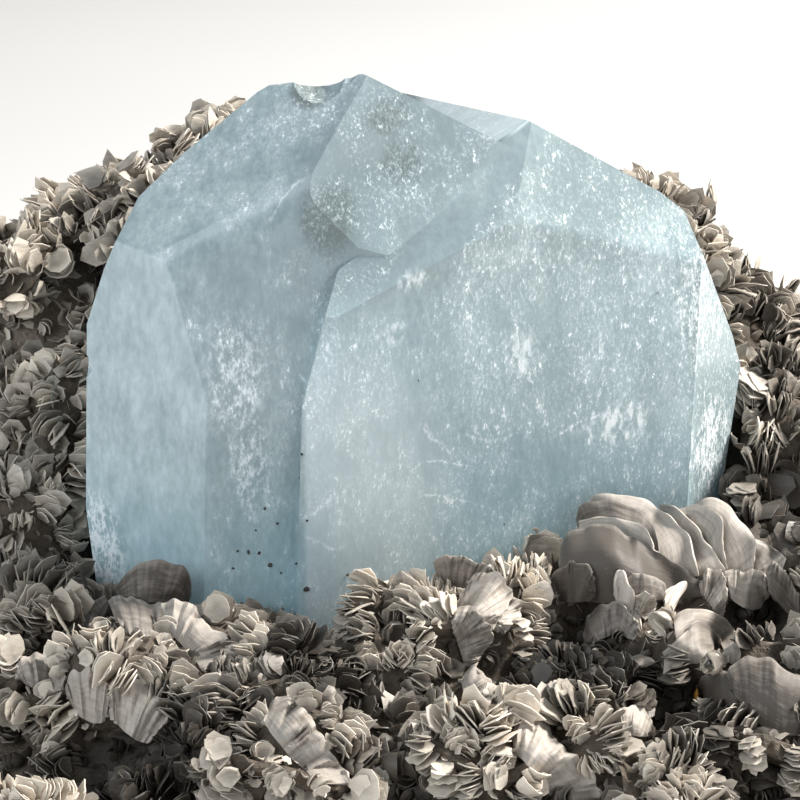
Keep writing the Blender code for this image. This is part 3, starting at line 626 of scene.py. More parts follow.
def crystal_faces(x, y, z, veil):
    """The faces and bands of the crystal, each 1 where it lies and 0 elsewhere."""
    front = 1.0 - y.step(10.0, 15.0)
    slant = x + (z - 13.3).most(0.0) * 0.284 + (veil - 0.5) * 0.2
    left = (1.0 - slant.step(-12.45, -12.2)) * (1.0 - (z + x * 0.22).step(19.1, 19.3)) * front
    band = x.step(-12.4, -11.6) * (1.0 - x.step(-6.6, -5.8)) * (1.0 - z.step(14.0, 24.0)) * front
    broad = x.step(-6.4, -5.4) * (1.0 - z.step(18.0, 27.0) * (1.0 - x.step(0.0, 8.0)))
    across = (x - 7.6) * 0.731 - (z - 28.6) * 0.683
    bevel = (1.0 - abs(across).step(0.9, 1.5)) * z.step(18.0, 21.5) * front
    past_ridge = (z * 0.857 - (x - 6.0) * 0.506 - (y - 11.0) * 0.098).step(24.55, 24.75)
    top = y.step(8.2, 8.8) * x.step(1.0, 2.0) * past_ridge
    return SimpleNamespace(front=front, left=left, band=band, broad=broad, bevel=bevel, top=top)


def crystal_finish():
    """Clouded pale blue crystal: clear windows between milky veils, snowed with fine inclusions and
    painted glints.
    """
    finish = Finish("pale_blue_crystal")
    place = finish.place()
    leaning = finish.stretch(place, (1.0, 1.0, 0.5), (0.0, 0.30, 0.0))
    cloud = finish.grain(place, 0.13, 2.0, 0.5)
    veil = finish.grain(leaning, 0.50, 3.0, 0.6)
    mottle = finish.grain(leaning, 2.0, 2.0, 0.7)
    speck = finish.grain(leaning, 5.2, 2.0, 0.9)
    x, y, z = finish.split(place)
    shaken = x + (mottle - 0.5) * 0.8, z + (veil - 0.5) * 1.2
    on = crystal_faces(x, y, z, veil)
    crest, shoulder = near(x, z, *CREST), near(x, z, *SHOULDER)

    smoke = zones(x, z, SMOKE) * flecks(veil, mottle, 0.6, 0.38, 0.56) + zones(x, z, FAINT_SMOKE)
    frost = widest(*shaken, FROST) * flecks(mottle, speck, 0.6, 0.44, 0.62)
    clots = zones(*shaken, CLOTS) * flecks(veil, mottle, 0.4, 0.42, 0.62)
    glitter = near(x, z, *GLITTER) * on.front.most(0.4)
    rough = widest(x, z, ROUGH)
    stripes = near(x, z, *STRIPES) * (x * 5.2 + z * 0.2).sine()

    # Fine inclusions: a grain of short bright flecks, more of them up and to the right.
    crowd = cloud * 0.35 + veil * 0.65 + on.broad * 0.09
    crowd = crowd + x.step(2.0, 22.0) * z.step(2.0, 18.0) * 0.17
    crowd = crowd - on.left * 0.14 - on.bevel * 0.2 - shoulder * 0.07
    crowded = crowd.step(0.42, 0.66)
    fine = speck.step(0.50, 0.68) * crowded
    coarse = flecks(speck, mottle, 0.45, 0.575, 0.66) * crowd.step(0.46, 0.66)
    wisps = reduce(Value.most, [arc(*shaken, *line) for line in HEALED_CRACKS])
    wisps = wisps * flecks(mottle, speck, 0.5, 0.38, 0.58) * on.front
    # Painted glints: white flecks where the rough and glittering parts would catch the light.
    glint = (glitter * 0.8 + rough * 0.9) * flecks(mottle, speck, 0.5, 0.42, 0.6)
    light = fine * 0.42 + coarse * 0.74 + wisps * 0.55 + frost * 0.55 + clots * 0.85
    light = (light + glint).clamped()

    # How milky the crystal is, and its tint under the flecks.
    milk = cloud * 0.5 + veil * 0.5 + mottle * 0.3 + on.left * 0.1 + on.bevel * 0.1 - smoke * 0.2
    share = ((milk - 0.25).step(0.0, 1.0) * 0.36 + 0.58 + light * 0.4).clamped()
    tint = veil * 0.6 + mottle * 0.25 + cloud * 0.3 + stripes * 0.05 + on.bevel * 0.05
    tint = (tint + (speck - 0.5) * (crowded * 0.7 + 0.25)).step(0.25, 0.90)

    # Layers of colour, from the tint up to the snow of flecks; some are painted light or painted shade.
    # Painted shade on the crest, the shoulder, the bevel and the key-lit right facet.
    shade = on.bevel * 0.5 + crest * 1.4 + shoulder * 0.9 + x.step(19.2, 20.2) * 0.95
    murk = zones(*shaken, MURK) + crest * 0.25
    murk = murk * (1.0 - flecks(veil, speck, 0.5, 0.40, 0.62)) * 0.85
    # Painted light: the right individual's left strips, the left face's top and the back top face.
    pale = near(x, z, *PAINTED_LIGHT_ZONE) * x.step(-6.3, -5.9) * 0.85
    colour = finish.blend(tint, DEEP_BLUE, MILKY_BLUE)
    for amount, layer in (
        (on.band * 0.15 + smoke * 0.6, SMOKY),
        (on.broad * (1.0 - z.step(16.0, 24.0)) * 0.25, BROAD_BLUE),
        # Painted light: a lighter, bluer foot.
        ((1.0 - z.step(-2.0, 12.0)) * 0.5, FOOT_PAINTED_LIGHT),
        (shade + zones(x, z, SHADED), SHADE_BLUE),
        # Smoke in the crystal, and painted shade on the chip.
        (murk + near(x, z, *CHIP_SHADE) * 0.9, MURK_AND_CHIP_SHADE),
        (pale + on.left * z.step(10.0, 22.0) * 0.25 + on.top, PAINTED_LIGHT_BLUE),
        (light, SNOW),
    ):
        colour = finish.blend(amount, colour, layer)

    strength = 0.5 + (glitter + rough) * 0.5
    normal = finish.bump(cloud * 2.0 + mottle * 0.4, 0.10 * MM, strength)
    both = {"IOR": BARITE_IOR, "Normal": normal}
    clear = {"Base Color": CLEAR, "Roughness": 0.14, "Transmission Weight": 1.0, **both}
    milky = {"Base Color": colour, "Roughness": 0.24, **both}
    shaders = {0: share, 1: finish.principled(clear), 2: finish.principled(milky)}
    shader = finish.node("ShaderNodeMixShader", None, shaders)
    depths = finish.node("ShaderNodeVolumeAbsorption", None, {"Color": DEPTHS, "Density": 10.0})
    return finish.finished(shader, Volume=depths)


def floor_finish():
    """Plain pale grey ground."""
    finish = Finish("pale_floor")
    place = finish.place()
    colour = finish.blend(finish.grain(place, 0.02, 2.0), (0.60, 0.60, 0.60), (0.64, 0.64, 0.64))
    return finish.finished(finish.principled({"Base Color": colour, "Roughness": 0.7}))


# ---------------------------------------------------------------- meshes


class Heap:
    """Points and faces of a piece being piled up, with the marks its finish reads."""

    def __init__(self):
        self.points = []
        self.faces = []
        self.marks = {}

    def add(self, points, faces, tone, **marks):
        """Put in one more part, with its tone and a list of numbers for each other mark."""
        first = len(self.points)
        self.points.extend(points)
        self.faces.extend([tuple(first + k for k in face) for face in faces])
        marks["tone"] = [tone] * len(points)
        for mark, numbers in marks.items():
            self.marks.setdefault(mark, []).extend(numbers)

    def mesh(self, name, place=SET_OUT):
        mesh = bpy.data.meshes.new(name)
        mesh.from_pydata([place @ Vector(p) for p in self.points], [], self.faces)
        for mark, numbers in self.marks.items():
            write_mark(mesh, mark, numbers)
        mesh.shade_smooth()
        mesh.set_sharp_from_angle(angle=math.radians(55.0))
        return mesh


def write_mark(mesh, mark, numbers):
    """Give every point of a mesh a number that a finish or a growth tree reads."""
    mesh.attributes.new(mark, "FLOAT", "POINT").data.foreach_set("value", numbers)


def opened(mesh):
    """A mesh as a bmesh."""
    bm = bmesh.new()
    bm.from_mesh(mesh)
    return bm


def closed(bm, name):
    """A bmesh as a new mesh."""
    mesh = bpy.data.meshes.new(name)
    bm.to_mesh(mesh)
    bm.free()
    return mesh


def surface_tree(mesh):
    """The surface of a mesh, ready to be searched."""
    bm = opened(mesh)
    tree = BVHTree.FromBMesh(bm)
    bm.free()
    return tree


def add_piece(name, mesh, finish=None):
    if finish:
        mesh.materials.clear()
        mesh.materials.append(finish)
    piece = bpy.data.objects.new(name, mesh)
    bpy.context.scene.collection.objects.link(piece)
    return piece


def declare(piece, node):
    """The piece rides with the specimen and stands for a CAD node."""
    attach(piece, "root")
    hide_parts(node)


def bake_modifiers(piece):
    """Turn what the modifiers make into the piece's own mesh."""
    bpy.context.view_layer.update()
    depsgraph = bpy.context.evaluated_depsgraph_get()
    mesh = bpy.data.meshes.new_from_object(piece.evaluated_get(depsgraph))
    mesh.name = piece.name
    piece.modifiers.clear()
    piece.data = mesh


def stick_together(rows, wide):
    """Faces of a closed sheet whose points run row by row, its outer side before its inner one."""
    faces = []
    grid, other = np.arange(2 * rows * wide).reshape(2, rows, wide).tolist()
    for i in range(rows - 1):
        for j in range(wide - 1):
            faces.append((grid[i][j], grid[i][j + 1], grid[i + 1][j + 1], grid[i + 1][j]))
            faces.append((other[i][j], other[i + 1][j], other[i + 1][j + 1], other[i][j + 1]))
    for i in range(rows - 1):
        faces.append((grid[i][0], grid[i + 1][0], other[i + 1][0], other[i][0]))
        faces.append((grid[i + 1][-1], grid[i][-1], other[i][-1], other[i + 1][-1]))
    for j in range(wide - 1):
        faces.append((grid[0][j + 1], grid[0][j], other[0][j], other[0][j + 1]))
        faces.append((grid[-1][j], grid[-1][j + 1], other[-1][j + 1], other[-1][j]))
    return faces


def any_seed(draw):
    """A place in the noise, so that each petal, plate and sheet waves in its own way."""
    return Vector((draw.uniform(-90.0, 90.0), draw.uniform(-90.0, 90.0), 0.0))


def add_petal(heap, place, bowl, size, thickness, tone, draw):
    """A closed sheet bent like part of a bowl, its outer side towards -Y, with a wavy upper rim.

    bowl is (radius, half of the sweep, lowest angle, highest angle, wave), size is (columns, rows).
    """
    radius, sweep, low, high, wave = bowl
    columns, rows = size
    seed = any_seed(draw)
    points, rims = [], []
    for side in (0.5, -0.5):
        for i in range(rows + 1):
            v = i / rows
            for j in range(columns + 1):
                u = 2.0 * j / columns - 1.0
                ripple = noise.noise(seed + Vector((2.2 * u, 0.0, 0.4 * v))) * wave
                scallop = noise.noise(seed + Vector((7.0 * u, 5.0, 0.0))) * wave * 0.35
                top = high + ripple + scallop - 0.35 * (high - low) * abs(u) ** 3
                polar = low + v * (top - low)
                turn = u * sweep * (0.75 + 0.25 * v)
                dent = noise.noise(seed + Vector((2.0 * u, 9.0, 2.0 * v))) * wave * 0.35 * radius * v
                rho = radius + dent + side * thickness * (1.0 - 0.4 * v)
                flat = rho * math.sin(polar)
                point = (flat * math.sin(turn), -flat * math.cos(turn), -rho * math.cos(polar))
                points.append(place @ Vector(point))
                rims.append(1.0 if i == rows or j in (0, columns) else 0.0)
    heap.add(points, stick_together(rows + 1, columns + 1), tone, rim=rims)


def add_fin(heap, place, reach, corners, thickness, tone, draw):
    """A thin upright plate in the XZ plane with its foot at the origin and a wavy rounded rim."""
    seed = any_seed(draw)
    bow, twist = draw.gauss(0.0, 0.22), draw.gauss(0.0, 0.22)
    wide = draw.uniform(0.65, 1.15)

    def bent(x, z, off):
        return place @ Vector((x, off + reach * (bow * (z / reach) ** 2 + twist * x * z / reach**2), z))

    middle = (0.0, 0.52 * reach)
    loop = [(-0.10 * reach, 0.0), (0.10 * reach, 0.0)]
    for k in range(corners):
        angle = math.radians(-118.0 + 236.0 * k / (corners - 1))
        around = Vector((1.9 * math.cos(angle), 1.9 * math.sin(angle), 0.0))
        rim = 0.5 * reach * (1.0 + 0.6 * noise.noise(seed + around))
        loop.append((wide * rim * math.sin(-angle), middle[1] + rim * math.cos(angle)))
    count = len(loop) + 1
    points, rims = [], []
    for side in (0.5, -0.5):
        points.append(bent(middle[0], middle[1], side * thickness + 0.06 * reach))
        rims.append(0.0)
        for x, z in loop:
            points.append(bent(x, z, side * thickness * 0.6))
            rims.append(min(1.0, z / (0.6 * reach)))
    faces = []
    for k in range(len(loop)):
        a, b = 1 + k, 1 + (k + 1) % len(loop)
        faces.append((0, a, b))
        faces.append((count, count + b, count + a))
        faces.append((b, a, count + a, count + b))
    heap.add(points, faces, tone, rim=rims)


# ---------------------------------------------------------------- matrix


def ease(t):
    """Smooth step from 0 to 1."""
    t = min(max(t, 0.0), 1.0)
    return t * t * (3.0 - 2.0 * t)


def rim_radius(angle):
    """Distance from the lump's middle to its outline, which wavers."""
    wide, deep = math.cos(angle) / LUMP_HALF_WIDTH, math.sin(angle) / LUMP_HALF_DEPTH
    corner = (abs(wide) ** SQUARENESS + abs(deep) ** SQUARENESS) ** (-1.0 / SQUARENESS)
    return corner * (0.955 + 0.055 * noise.noise(Vector((math.cos(angle), math.sin(angle), 4.0)) * 1.7))


def ground(x, y):
    """Height of the lump's top."""
    side = ease((x + LUMP_HALF_WIDTH) / (2.0 * LUMP_HALF_WIDTH))
    rise = BACK_RISE_LEFT + (BACK_RISE_RIGHT - BACK_RISE_LEFT) * side
    level = rise * ease((y - 2.0) / 38.0) - FRONT_FALL * ease((1.0 - y) / 30.0)
    swell = 1.5 * noise.noise(Vector((x / 11.0, y / 11.0, 0.3)))
    for (middle_x, middle_y), height, spread in SWELLS:
        near_by = ((x - middle_x) ** 2 + (y - middle_y) ** 2) / spread**2
        swell += height * math.exp(-near_by)
    offset = Vector((x, y)) - LUMP_CENTRE
    reach = offset.length / rim_radius(math.atan2(offset.y, offset.x))
    return level + swell - 1.2 - RIM_FALL * max(reach - 0.6, 0.0) ** 2 / 0.16


def surface_up(x, y):
    """The ground's upward normal, which the rosettes stand along."""
    step = 1.5
    slope_x = (ground(x + step, y) - ground(x - step, y)) / (2.0 * step)
    slope_y = (ground(x, y + step) - ground(x, y - step)) / (2.0 * step)
    return Vector((-slope_x, -slope_y, 1.0)).normalized()


def over_crystal(x, y, room):
    """Whether a place lies under the crystal's foot, with room to spare."""
    return -20.5 + room < x < 21.5 - room and 1.5 + room < y < 26.0 - room


def pass_over_books(books, draw):
    """Take the draws that the CAD spends on a rosette's books, so that the next ones line up."""
    for _ in range(books):
        for _ in range(BOOK_DRAWS):
            draw.random()
        draw.choice(BOOK_CORNERS)


def rosette_radius(draw):
    """A rosette's radius; the draw after it is the one that the CAD spends on its turn."""
    radius = draw.uniform(*ROSETTE_RADIUS)
    draw.random()
    return radius


def all_rosettes(draw):
    """Every rosette of the matrix, in the CAD's order: foot, upward direction and radius."""
    columns = int(2.0 * LUMP_HALF_WIDTH / ROSETTE_SPACING) + 1
    rows = int(2.0 * LUMP_HALF_DEPTH / ROSETTE_SPACING) + 1
    for row in range(rows):
        for column in range(columns):
            x = (column - (columns - 1) / 2.0 + 0.25 * (-1) ** row) * ROSETTE_SPACING
            y = LUMP_CENTRE.y + (row - (rows - 1) / 2.0) * ROSETTE_SPACING
            x += draw.uniform(-1.8, 1.8)
            y += draw.uniform(-1.8, 1.8)
            radius = rosette_radius(draw)
            spot = Vector((x, y))
            offset = spot - LUMP_CENTRE
            edge = rim_radius(math.atan2(offset.y, offset.x)) - offset.length
            near_large = any((spot - Vector(foot[:2])).length < size for foot, size in LARGE_ROSETTES)
            if edge > 1.5 and not near_large and not over_crystal(x, y, 1.5):
                pass_over_books(3, draw)
                yield Vector((x, y, ground(x, y) - 0.5)), surface_up(x, y), radius
    for k in range(SIDE_ROSETTES):
        angle = 2.0 * math.pi * (k + draw.uniform(-0.2, 0.2)) / SIDE_ROSETTES
        reach = rim_radius(angle)
        x = LUMP_CENTRE.x + reach * math.cos(angle)
        y = LUMP_CENTRE.y + reach * math.sin(angle)
        wall = ground(x, y) - BASE
        up = Vector((math.cos(angle), math.sin(angle), 0.25)).normalized()
        for share in (0.6,) if wall < TALL_SIDE else (0.3, 0.78):
            height = BASE + wall * (share + draw.uniform(-0.08, 0.08))
            radius = rosette_radius(draw) * 0.9
            pass_over_books(2, draw)
            yield Vector((x, y, height)) - up * 1.6, up, radius
    for foot, radius in LARGE_ROSETTES:
        yield Vector(foot), Vector((0.0, 0.0, 1.0)), radius


class CrystalSpace:
    """Tells what lies inside the crystal and moves points out of it."""

    def __init__(self, crystal):
        self.tree = surface_tree(crystal.data)
        low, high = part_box("barite_crystal")
        self.low, self.high = np.array(low) - 0.4 * MM, np.array(high) + 0.4 * MM

    def depth(self, point):
        """How far a point is inside the crystal, negative outside, and the way out."""
        spot, normal, _, _ = self.tree.find_nearest(point)
        away = (spot - point).dot(normal)
        return math.copysign((spot - point).length, away), spot, normal

    def clear(self, piece, room):
        """Keep a piece out of the crystal, and inside the CAD's box."""
        mesh = piece.data
        points = np.empty(len(mesh.vertices) * 3)
        mesh.vertices.foreach_get("co", points)
        points = points.reshape(-1, 3)
        close = np.nonzero(((points > self.low) & (points < self.high)).all(axis=1))[0]
        for index in close:
            depth, spot, normal = self.depth(Vector(points[index]))
            if depth > -room:
                points[index] = spot + normal * room
        low, high = np.array(CAD_BOX[0]), np.array(CAD_BOX[1])
        margin = 0.01 * MM
        low[2] -= margin
        points = np.clip(points, low + margin, high - margin)
        mesh.vertices.foreach_set("co", points.ravel())
        mesh.update()


def matrix_core():
    """The lumps under the plates: the CAD's solid drawn in, with a ball at each rosette."""
    bm = opened(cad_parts["mica_matrix"].data)
    bmesh.ops.remove_doubles(bm, verts=bm.verts, dist=0.001 * MM)
    core = add_piece("mica_core", closed(bm, "mica_core"))
    shape_core(core, 0.8, 3)
    draw_in(core.data, 1.2 * MM)
    bm = opened(core.data)
    for foot, up, radius in all_rosettes(random.Random(ROSETTE_SEED)):
        place = SET_OUT @ Matrix.Translation(foot + up * (0.18 * radius))
        bmesh.ops.create_icosphere(bm, subdivisions=2, radius=0.60 * radius, matrix=place)
    bm.to_mesh(core.data)
    bm.free()
    shape_core(core, 0.7, 2)
    return core


def shape_core(core, voxel, smoothings):
    """Make one closed, soft surface of the core's lumps."""
    remesh = core.modifiers.new("remesh", "REMESH")
    remesh.mode = "VOXEL"
    remesh.voxel_size = voxel * MM
    soften = core.modifiers.new("soften", "SMOOTH")
    soften.factor, soften.iterations = 0.5, smoothings
    bake_modifiers(core)


def mesh_points(mesh):
    points, normals = np.empty(len(mesh.vertices) * 3), np.empty(len(mesh.vertices) * 3)
    mesh.vertices.foreach_get("co", points)
    mesh.vertices.foreach_get("normal", normals)
    return points.reshape(-1, 3), normals.reshape(-1, 3)


def draw_in(mesh, distance):
    """Move every point inwards along its normal."""
    points, normals = mesh_points(mesh)
    points -= normals * distance
    mesh.vertices.foreach_set("co", points.ravel())
    mesh.update()


def relief(mesh, rounds=40):
    """How far each point stands proud of the smoothed surface, 0 in hollows and 1 on lumps."""
    points, normals = mesh_points(mesh)
    edges = np.empty(len(mesh.edges) * 2, dtype=np.int64)
    mesh.edges.foreach_get("vertices", edges)
    one, two = edges.reshape(-1, 2).T
    count = np.bincount(one, minlength=len(points)) + np.bincount(two, minlength=len(points))
    smooth = points.copy()
    for _ in range(rounds):
        total = np.empty_like(smooth)
        for axis in range(3):
            total[:, axis] = np.bincount(one, smooth[two, axis], len(points))
            total[:, axis] += np.bincount(two, smooth[one, axis], len(points))
        smooth = total / np.maximum(count, 1)[:, None]
    proud = ((points - smooth) * normals).sum(axis=1)
    return np.clip(0.5 + proud / (1.6 * MM), 0.0, 1.0)


# ---------------------------------------------------------------- what grows on the core


class Growth(Nodes):
    """A Geometry Nodes tree that grows tufts of plates over a surface."""

    INPUTS = (
        ("Spacing", "NodeSocketFloat", 0.002),
        ("Least", "NodeSocketFloat", 0.001),
        ("Most", "NodeSocketFloat", 0.002),
        ("Lean", "NodeSocketFloat", 0.5),
        ("Sink", "NodeSocketFloat", 0.0),
        ("Seed", "NodeSocketInt", 1),
        ("Tufts", "NodeSocketCollection", None),
        ("Finish", "NodeSocketMaterial", None),
    )

    def __init__(self, name):
        group = bpy.data.node_groups.new(name, "GeometryNodeTree")
        super().__init__(group)
        group.interface.new_socket("Geometry", in_out="INPUT", socket_type="NodeSocketGeometry")
        for label, kind, default in self.INPUTS:
            socket = group.interface.new_socket(label, in_out="INPUT", socket_type=kind)
            if default is not None:
                socket.default_value = default
        group.interface.new_socket("Geometry", in_out="OUTPUT", socket_type="NodeSocketGeometry")
        node = self.tree.nodes.new("NodeGroupInput")
        self.given = {socket.name: Value(self, socket) for socket in node.outputs if socket.name}
        self.build()

    def random(self, low, high, seed_step, kind="FLOAT"):
        """A number for each tuft between two others."""
        values = {"Min": low, "Max": high, "Seed": self.given["Seed"] + float(seed_step)}
        return self.node("FunctionNodeRandomValue", {"data_type": kind}, values, "Value")

    def build(self):
        """Spread points, stand a leaning tuft on each, sink it a little and give it its finish."""
        given = self.given
        cover = self.node("GeometryNodeInputNamedAttribute", None, {"Name": "cover"}, "Attribute")
        points = self.node(
            "GeometryNodeDistributePointsOnFaces",
            {"distribute_method": "POISSON"},
            {
                "Mesh": given["Geometry"],
                "Distance Min": given["Spacing"],
                "Density Max": DENSEST,
                "Density Factor": cover,
                "Seed": given["Seed"],
            },
        )
        normal = Value(self, points.socket.node.outputs["Normal"])
        upright = self.node(
            "FunctionNodeAlignRotationToVector", {"axis": "Z"}, {"Vector": normal}, "Rotation"
        )
        spin = self.random((0.0, 0.0, -math.pi), (0.0, 0.0, math.pi), 1, "FLOAT_VECTOR")
        back = given["Lean"] * -1.0
        lean = self.random(
            self.joined(back, back), self.joined(given["Lean"], given["Lean"]), 2, "FLOAT_VECTOR"
        )
        turned = upright
        for step in (lean, spin):
            turn = self.node("FunctionNodeEulerToRotation", None, {"Euler": step})
            turned = self.node(
                "FunctionNodeRotateRotation",
                {"rotation_space": "LOCAL"},
                {"Rotation": turned, "Rotate By": turn},
            )
        size = self.random(given["Least"], given["Most"], 3)
        tufts = self.node(
            "GeometryNodeCollectionInfo",
            None,
            {"Collection": given["Tufts"], "Separate Children": True, "Reset Children": True},
        )
        placed = self.node(
            "GeometryNodeInstanceOnPoints",
            None,
            {
                "Points": points,
                "Instance": tufts,
                "Pick Instance": True,
                "Rotation": turned,
                "Scale": size,
            },
        )
        down = self.joined(z=given["Sink"] * -1.0)
        sunk = self.node(
            "GeometryNodeTranslateInstances", None, {"Instances": placed, "Translation": down}
        )
        marked = self.node(
            "GeometryNodeStoreNamedAttribute",
            {"data_type": "FLOAT", "domain": "INSTANCE"},
            {"Geometry": sunk, "Name": "batch", "Value": self.random(0.0, 1.0, 4)},
        )
        real = self.node("GeometryNodeRealizeInstances", None, {"Geometry": marked})
        done = self.node(
            "GeometryNodeSetMaterial", None, {"Geometry": real, "Material": given["Finish"]}
        )
        self.node("NodeGroupOutput", None, {"Geometry": done})

    def grow(self, name, surface, **inputs):
        """The mesh that the tree makes over a surface."""
        piece = add_piece(name, surface)
        modifier = piece.modifiers.new(name, "NODES")
        modifier.node_group = self.tree
        sockets = {item.name: item.identifier for item in self.tree.interface.items_tree}
        for label, value in inputs.items():
            modifier[sockets[label.title()]] = value
        bake_modifiers(piece)
        return piece


def fin_tufts(name, count, fins, corners, draw):
    """A hidden collection of tufts: tight fans of thin plates of about unit height."""
    kinds = bpy.data.collections.new(name)
    for index in range(count):
        heap = Heap()
        fan, pitch = draw.uniform(0.03, 0.11), draw.uniform(0.065, 0.09)
        for fin in range(fins):
            step = fin - (fins - 1) / 2.0
            share = step / fins
            reach = (1.0 - 0.9 * share * share) * draw.uniform(0.84, 1.06)
            lean = Matrix.Rotation(-step * fan + draw.gauss(0.0, 0.06), 4, "X")
            turn = Matrix.Rotation(draw.gauss(0.0, 0.10), 4, "Z")
            foot = Matrix.Translation((draw.gauss(0.0, 0.08), step * pitch, draw.uniform(-0.08, 0.02)))
            thickness, tone = draw.uniform(0.04, 0.075), draw.random()
            add_fin(heap, foot @ turn @ lean, reach, corners, thickness, tone, draw)
        keep_kind(kinds, heap, f"{name}_{index}")
    return kinds


def petal_tufts(name, count, petals, size, draw):
    """A hidden collection of buds: petals nested like bowls, each rim above the last."""
    kinds = bpy.data.collections.new(name)
    for index in range(count):
        heap = Heap()
        for petal in range(petals):
            radius = draw.uniform(0.40, 0.52)
            foot = (draw.gauss(0.0, 0.05), -0.25 + 0.14 * petal, 0.36 + 0.10 * petal)
            turn = Matrix.Rotation(draw.gauss(0.0, 0.30), 4, "Z")
            lean = Matrix.Rotation(draw.gauss(0.25, 0.2), 4, "X")
            bowl = (radius, draw.uniform(0.9, 1.3), 0.5, draw.uniform(1.7, 2.2), 0.30)
            thickness, tone = draw.uniform(0.05, 0.09), draw.random()
            place = Matrix.Translation(foot) @ turn @ lean
            add_petal(heap, place, bowl, size, thickness, tone, draw)
        keep_kind(kinds, heap, f"{name}_{index}")
    return kinds


def keep_kind(kinds, heap, name):
    """Keep a tuft in the collection that the growth tree picks from."""
    mesh = heap.mesh(name, Matrix.Identity(4))
    kinds.objects.link(bpy.data.objects.new(name, mesh))


def marked_surface(core, covers, keep):
    """The part of the core whose faces pass keep, with how much to grow at each point."""
    mesh = core.data.copy()
    back = SET_OUT.inverted()
    write_mark(mesh, "cover", covers)
    bm = opened(mesh)
    lost = [face for face in bm.faces if not keep(back @ face.calc_center_median(), face.normal)]
    bmesh.ops.delete(bm, geom=lost, context="FACES")
    bm.to_mesh(mesh)
    bm.free()
    return mesh


def in_view(point):
    """Whether the camera's frame can hold a point of the top."""
    return abs(point.x) < 27.0 + 0.13 * point.y and point.y > -29.0


def grow_matrix(core, space, mica):
    """Tufts of plates over the core, each kind on its own part of it."""
    draw = random.Random(TUFT_SEED)
    fins = fin_tufts("fin_tufts", 10, 11, 8, draw)
    plain = fin_tufts("plain_tufts", 7, 8, 6, draw)
    buds = petal_tufts("petal_tufts", 6, 4, (5, 2), draw)
    scales = petal_tufts("scales", 5, 1, (3, 1), draw)
    growth = Growth("tufts_over_surface")
    lifts = relief(core.data)
    points, normals = mesh_points(core.data)
    points = (points - np.array(ORIGIN)) / MM
    # The lift mark also paints light on the plates' lumps; the shade mark holds painted light and shade.
    write_mark(core.data, "lift", lifts)
    write_mark(core.data, "shade", painted_light_and_shade_at(points))
    no_sheet = ~under_sheets(points)
    no_sheet_above = no_sheet.copy()
    for height in TUFT_HEIGHTS:
        no_sheet_above &= ~under_sheets(points + height * normals)

    def part(side, nearest, farthest, least_rise, shown=True):
        """Tells which faces of the core lie on one side between two depths."""

        def keep(point, normal):
            within, _, _ = space.depth(SET_OUT @ (point + normal * 2.0))
            placed = nearest <= point.y < farthest and point.x * side >= 0.0 and point.z > BASE + 1.0
            return placed and in_view(point) == shown and normal.z > least_rise and within < 0.0

        return keep

    regions = {
        "left": part(-1.0, -99.0, 3.0, -0.7),
        "right": part(1.0, -99.0, 3.0, -0.7),
        "low_left": part(-1.0, -99.0, 12.0, -0.7),
        "low_right": part(1.0, -99.0, 16.0, -0.7),
        "back_left": part(-1.0, 12.0, 34.0, -0.3),
        "back_right": part(1.0, 16.0, 34.0, -0.3),
        "behind_left": part(-1.0, 3.0, 99.0, -0.3),
        "behind_right": part(1.0, 3.0, 99.0, -0.3),
        "outer": part(0.0, -99.0, 99.0, -0.9, False),
    }
    high = no_sheet_above * np.array([ease((lift - 0.25) / 0.3) for lift in lifts])
    low = 1.0 - 0.7 * np.array([ease((lift - 0.45) / 0.3) for lift in lifts])
    low = no_sheet * np.where(no_sheet_above, low, 1.0)
    all_over = no_sheet.astype(float)
    beside = all_over * (np.abs(points[:, 0]) > 16.0)
    # Name, region, cover, tufts, spacing, least and most size, lean and sink.
    recipe = (
        ("mica_tufts_left", "left", high, fins, 1.35, 1.2, 2.3, 0.40, 0.45),
        ("mica_tufts_right", "right", high, fins, 1.35, 1.2, 2.3, 0.40, 0.45),
        ("mica_buds_left", "left", low, buds, 1.7, 1.0, 2.2, 0.9, 0.3),
        ("mica_buds_right", "right", low, buds, 1.7, 1.0, 2.2, 0.9, 0.3),
        ("mica_tufts_behind_left", "behind_left", high, plain, 1.7, 1.4, 2.6, 0.45, 0.45),
        ("mica_tufts_behind_right", "behind_right", high, plain, 1.7, 1.4, 2.6, 0.45, 0.45),
        ("mica_buds_behind_left", "behind_left", low, buds, 2.3, 1.3, 2.6, 0.9, 0.3),
        ("mica_buds_behind_right", "behind_right", low, buds, 2.3, 1.3, 2.6, 0.9, 0.3),
        ("mica_tufts_outer", "outer", high, plain, 2.2, 1.6, 2.8, 0.5, 0.5),
        ("mica_buds_outer", "outer", low, scales, 1.6, 1.4, 2.8, 0.9, 0.3),
        ("mica_scales_left", "low_left", all_over, scales, 0.64, 0.6, 1.4, 1.2, 0.1),
        ("mica_scales_right", "low_right", all_over, scales, 0.64, 0.6, 1.4, 1.2, 0.1),
        ("mica_scales_back_left", "back_left", beside, scales, 0.62, 1.1, 2.2, 1.0, 0.1),
        ("mica_scales_back_right", "back_right", beside, scales, 0.75, 1.0, 2.0, 1.0, 0.1),
    )
    for seed, (name, region, cover, kinds, spacing, least, most, lean, sink) in enumerate(recipe):
        surface = marked_surface(core, cover, regions[region])
        piece = growth.grow(
            name,
            surface,
            spacing=spacing * MM,
            least=least * MM,
            most=most * MM,
            lean=lean,
            sink=sink * MM,
            seed=seed + 3,
            tufts=kinds,
            finish=mica,
        )
        space.clear(piece, 0.12 * MM)
        declare(piece, "mica_matrix")


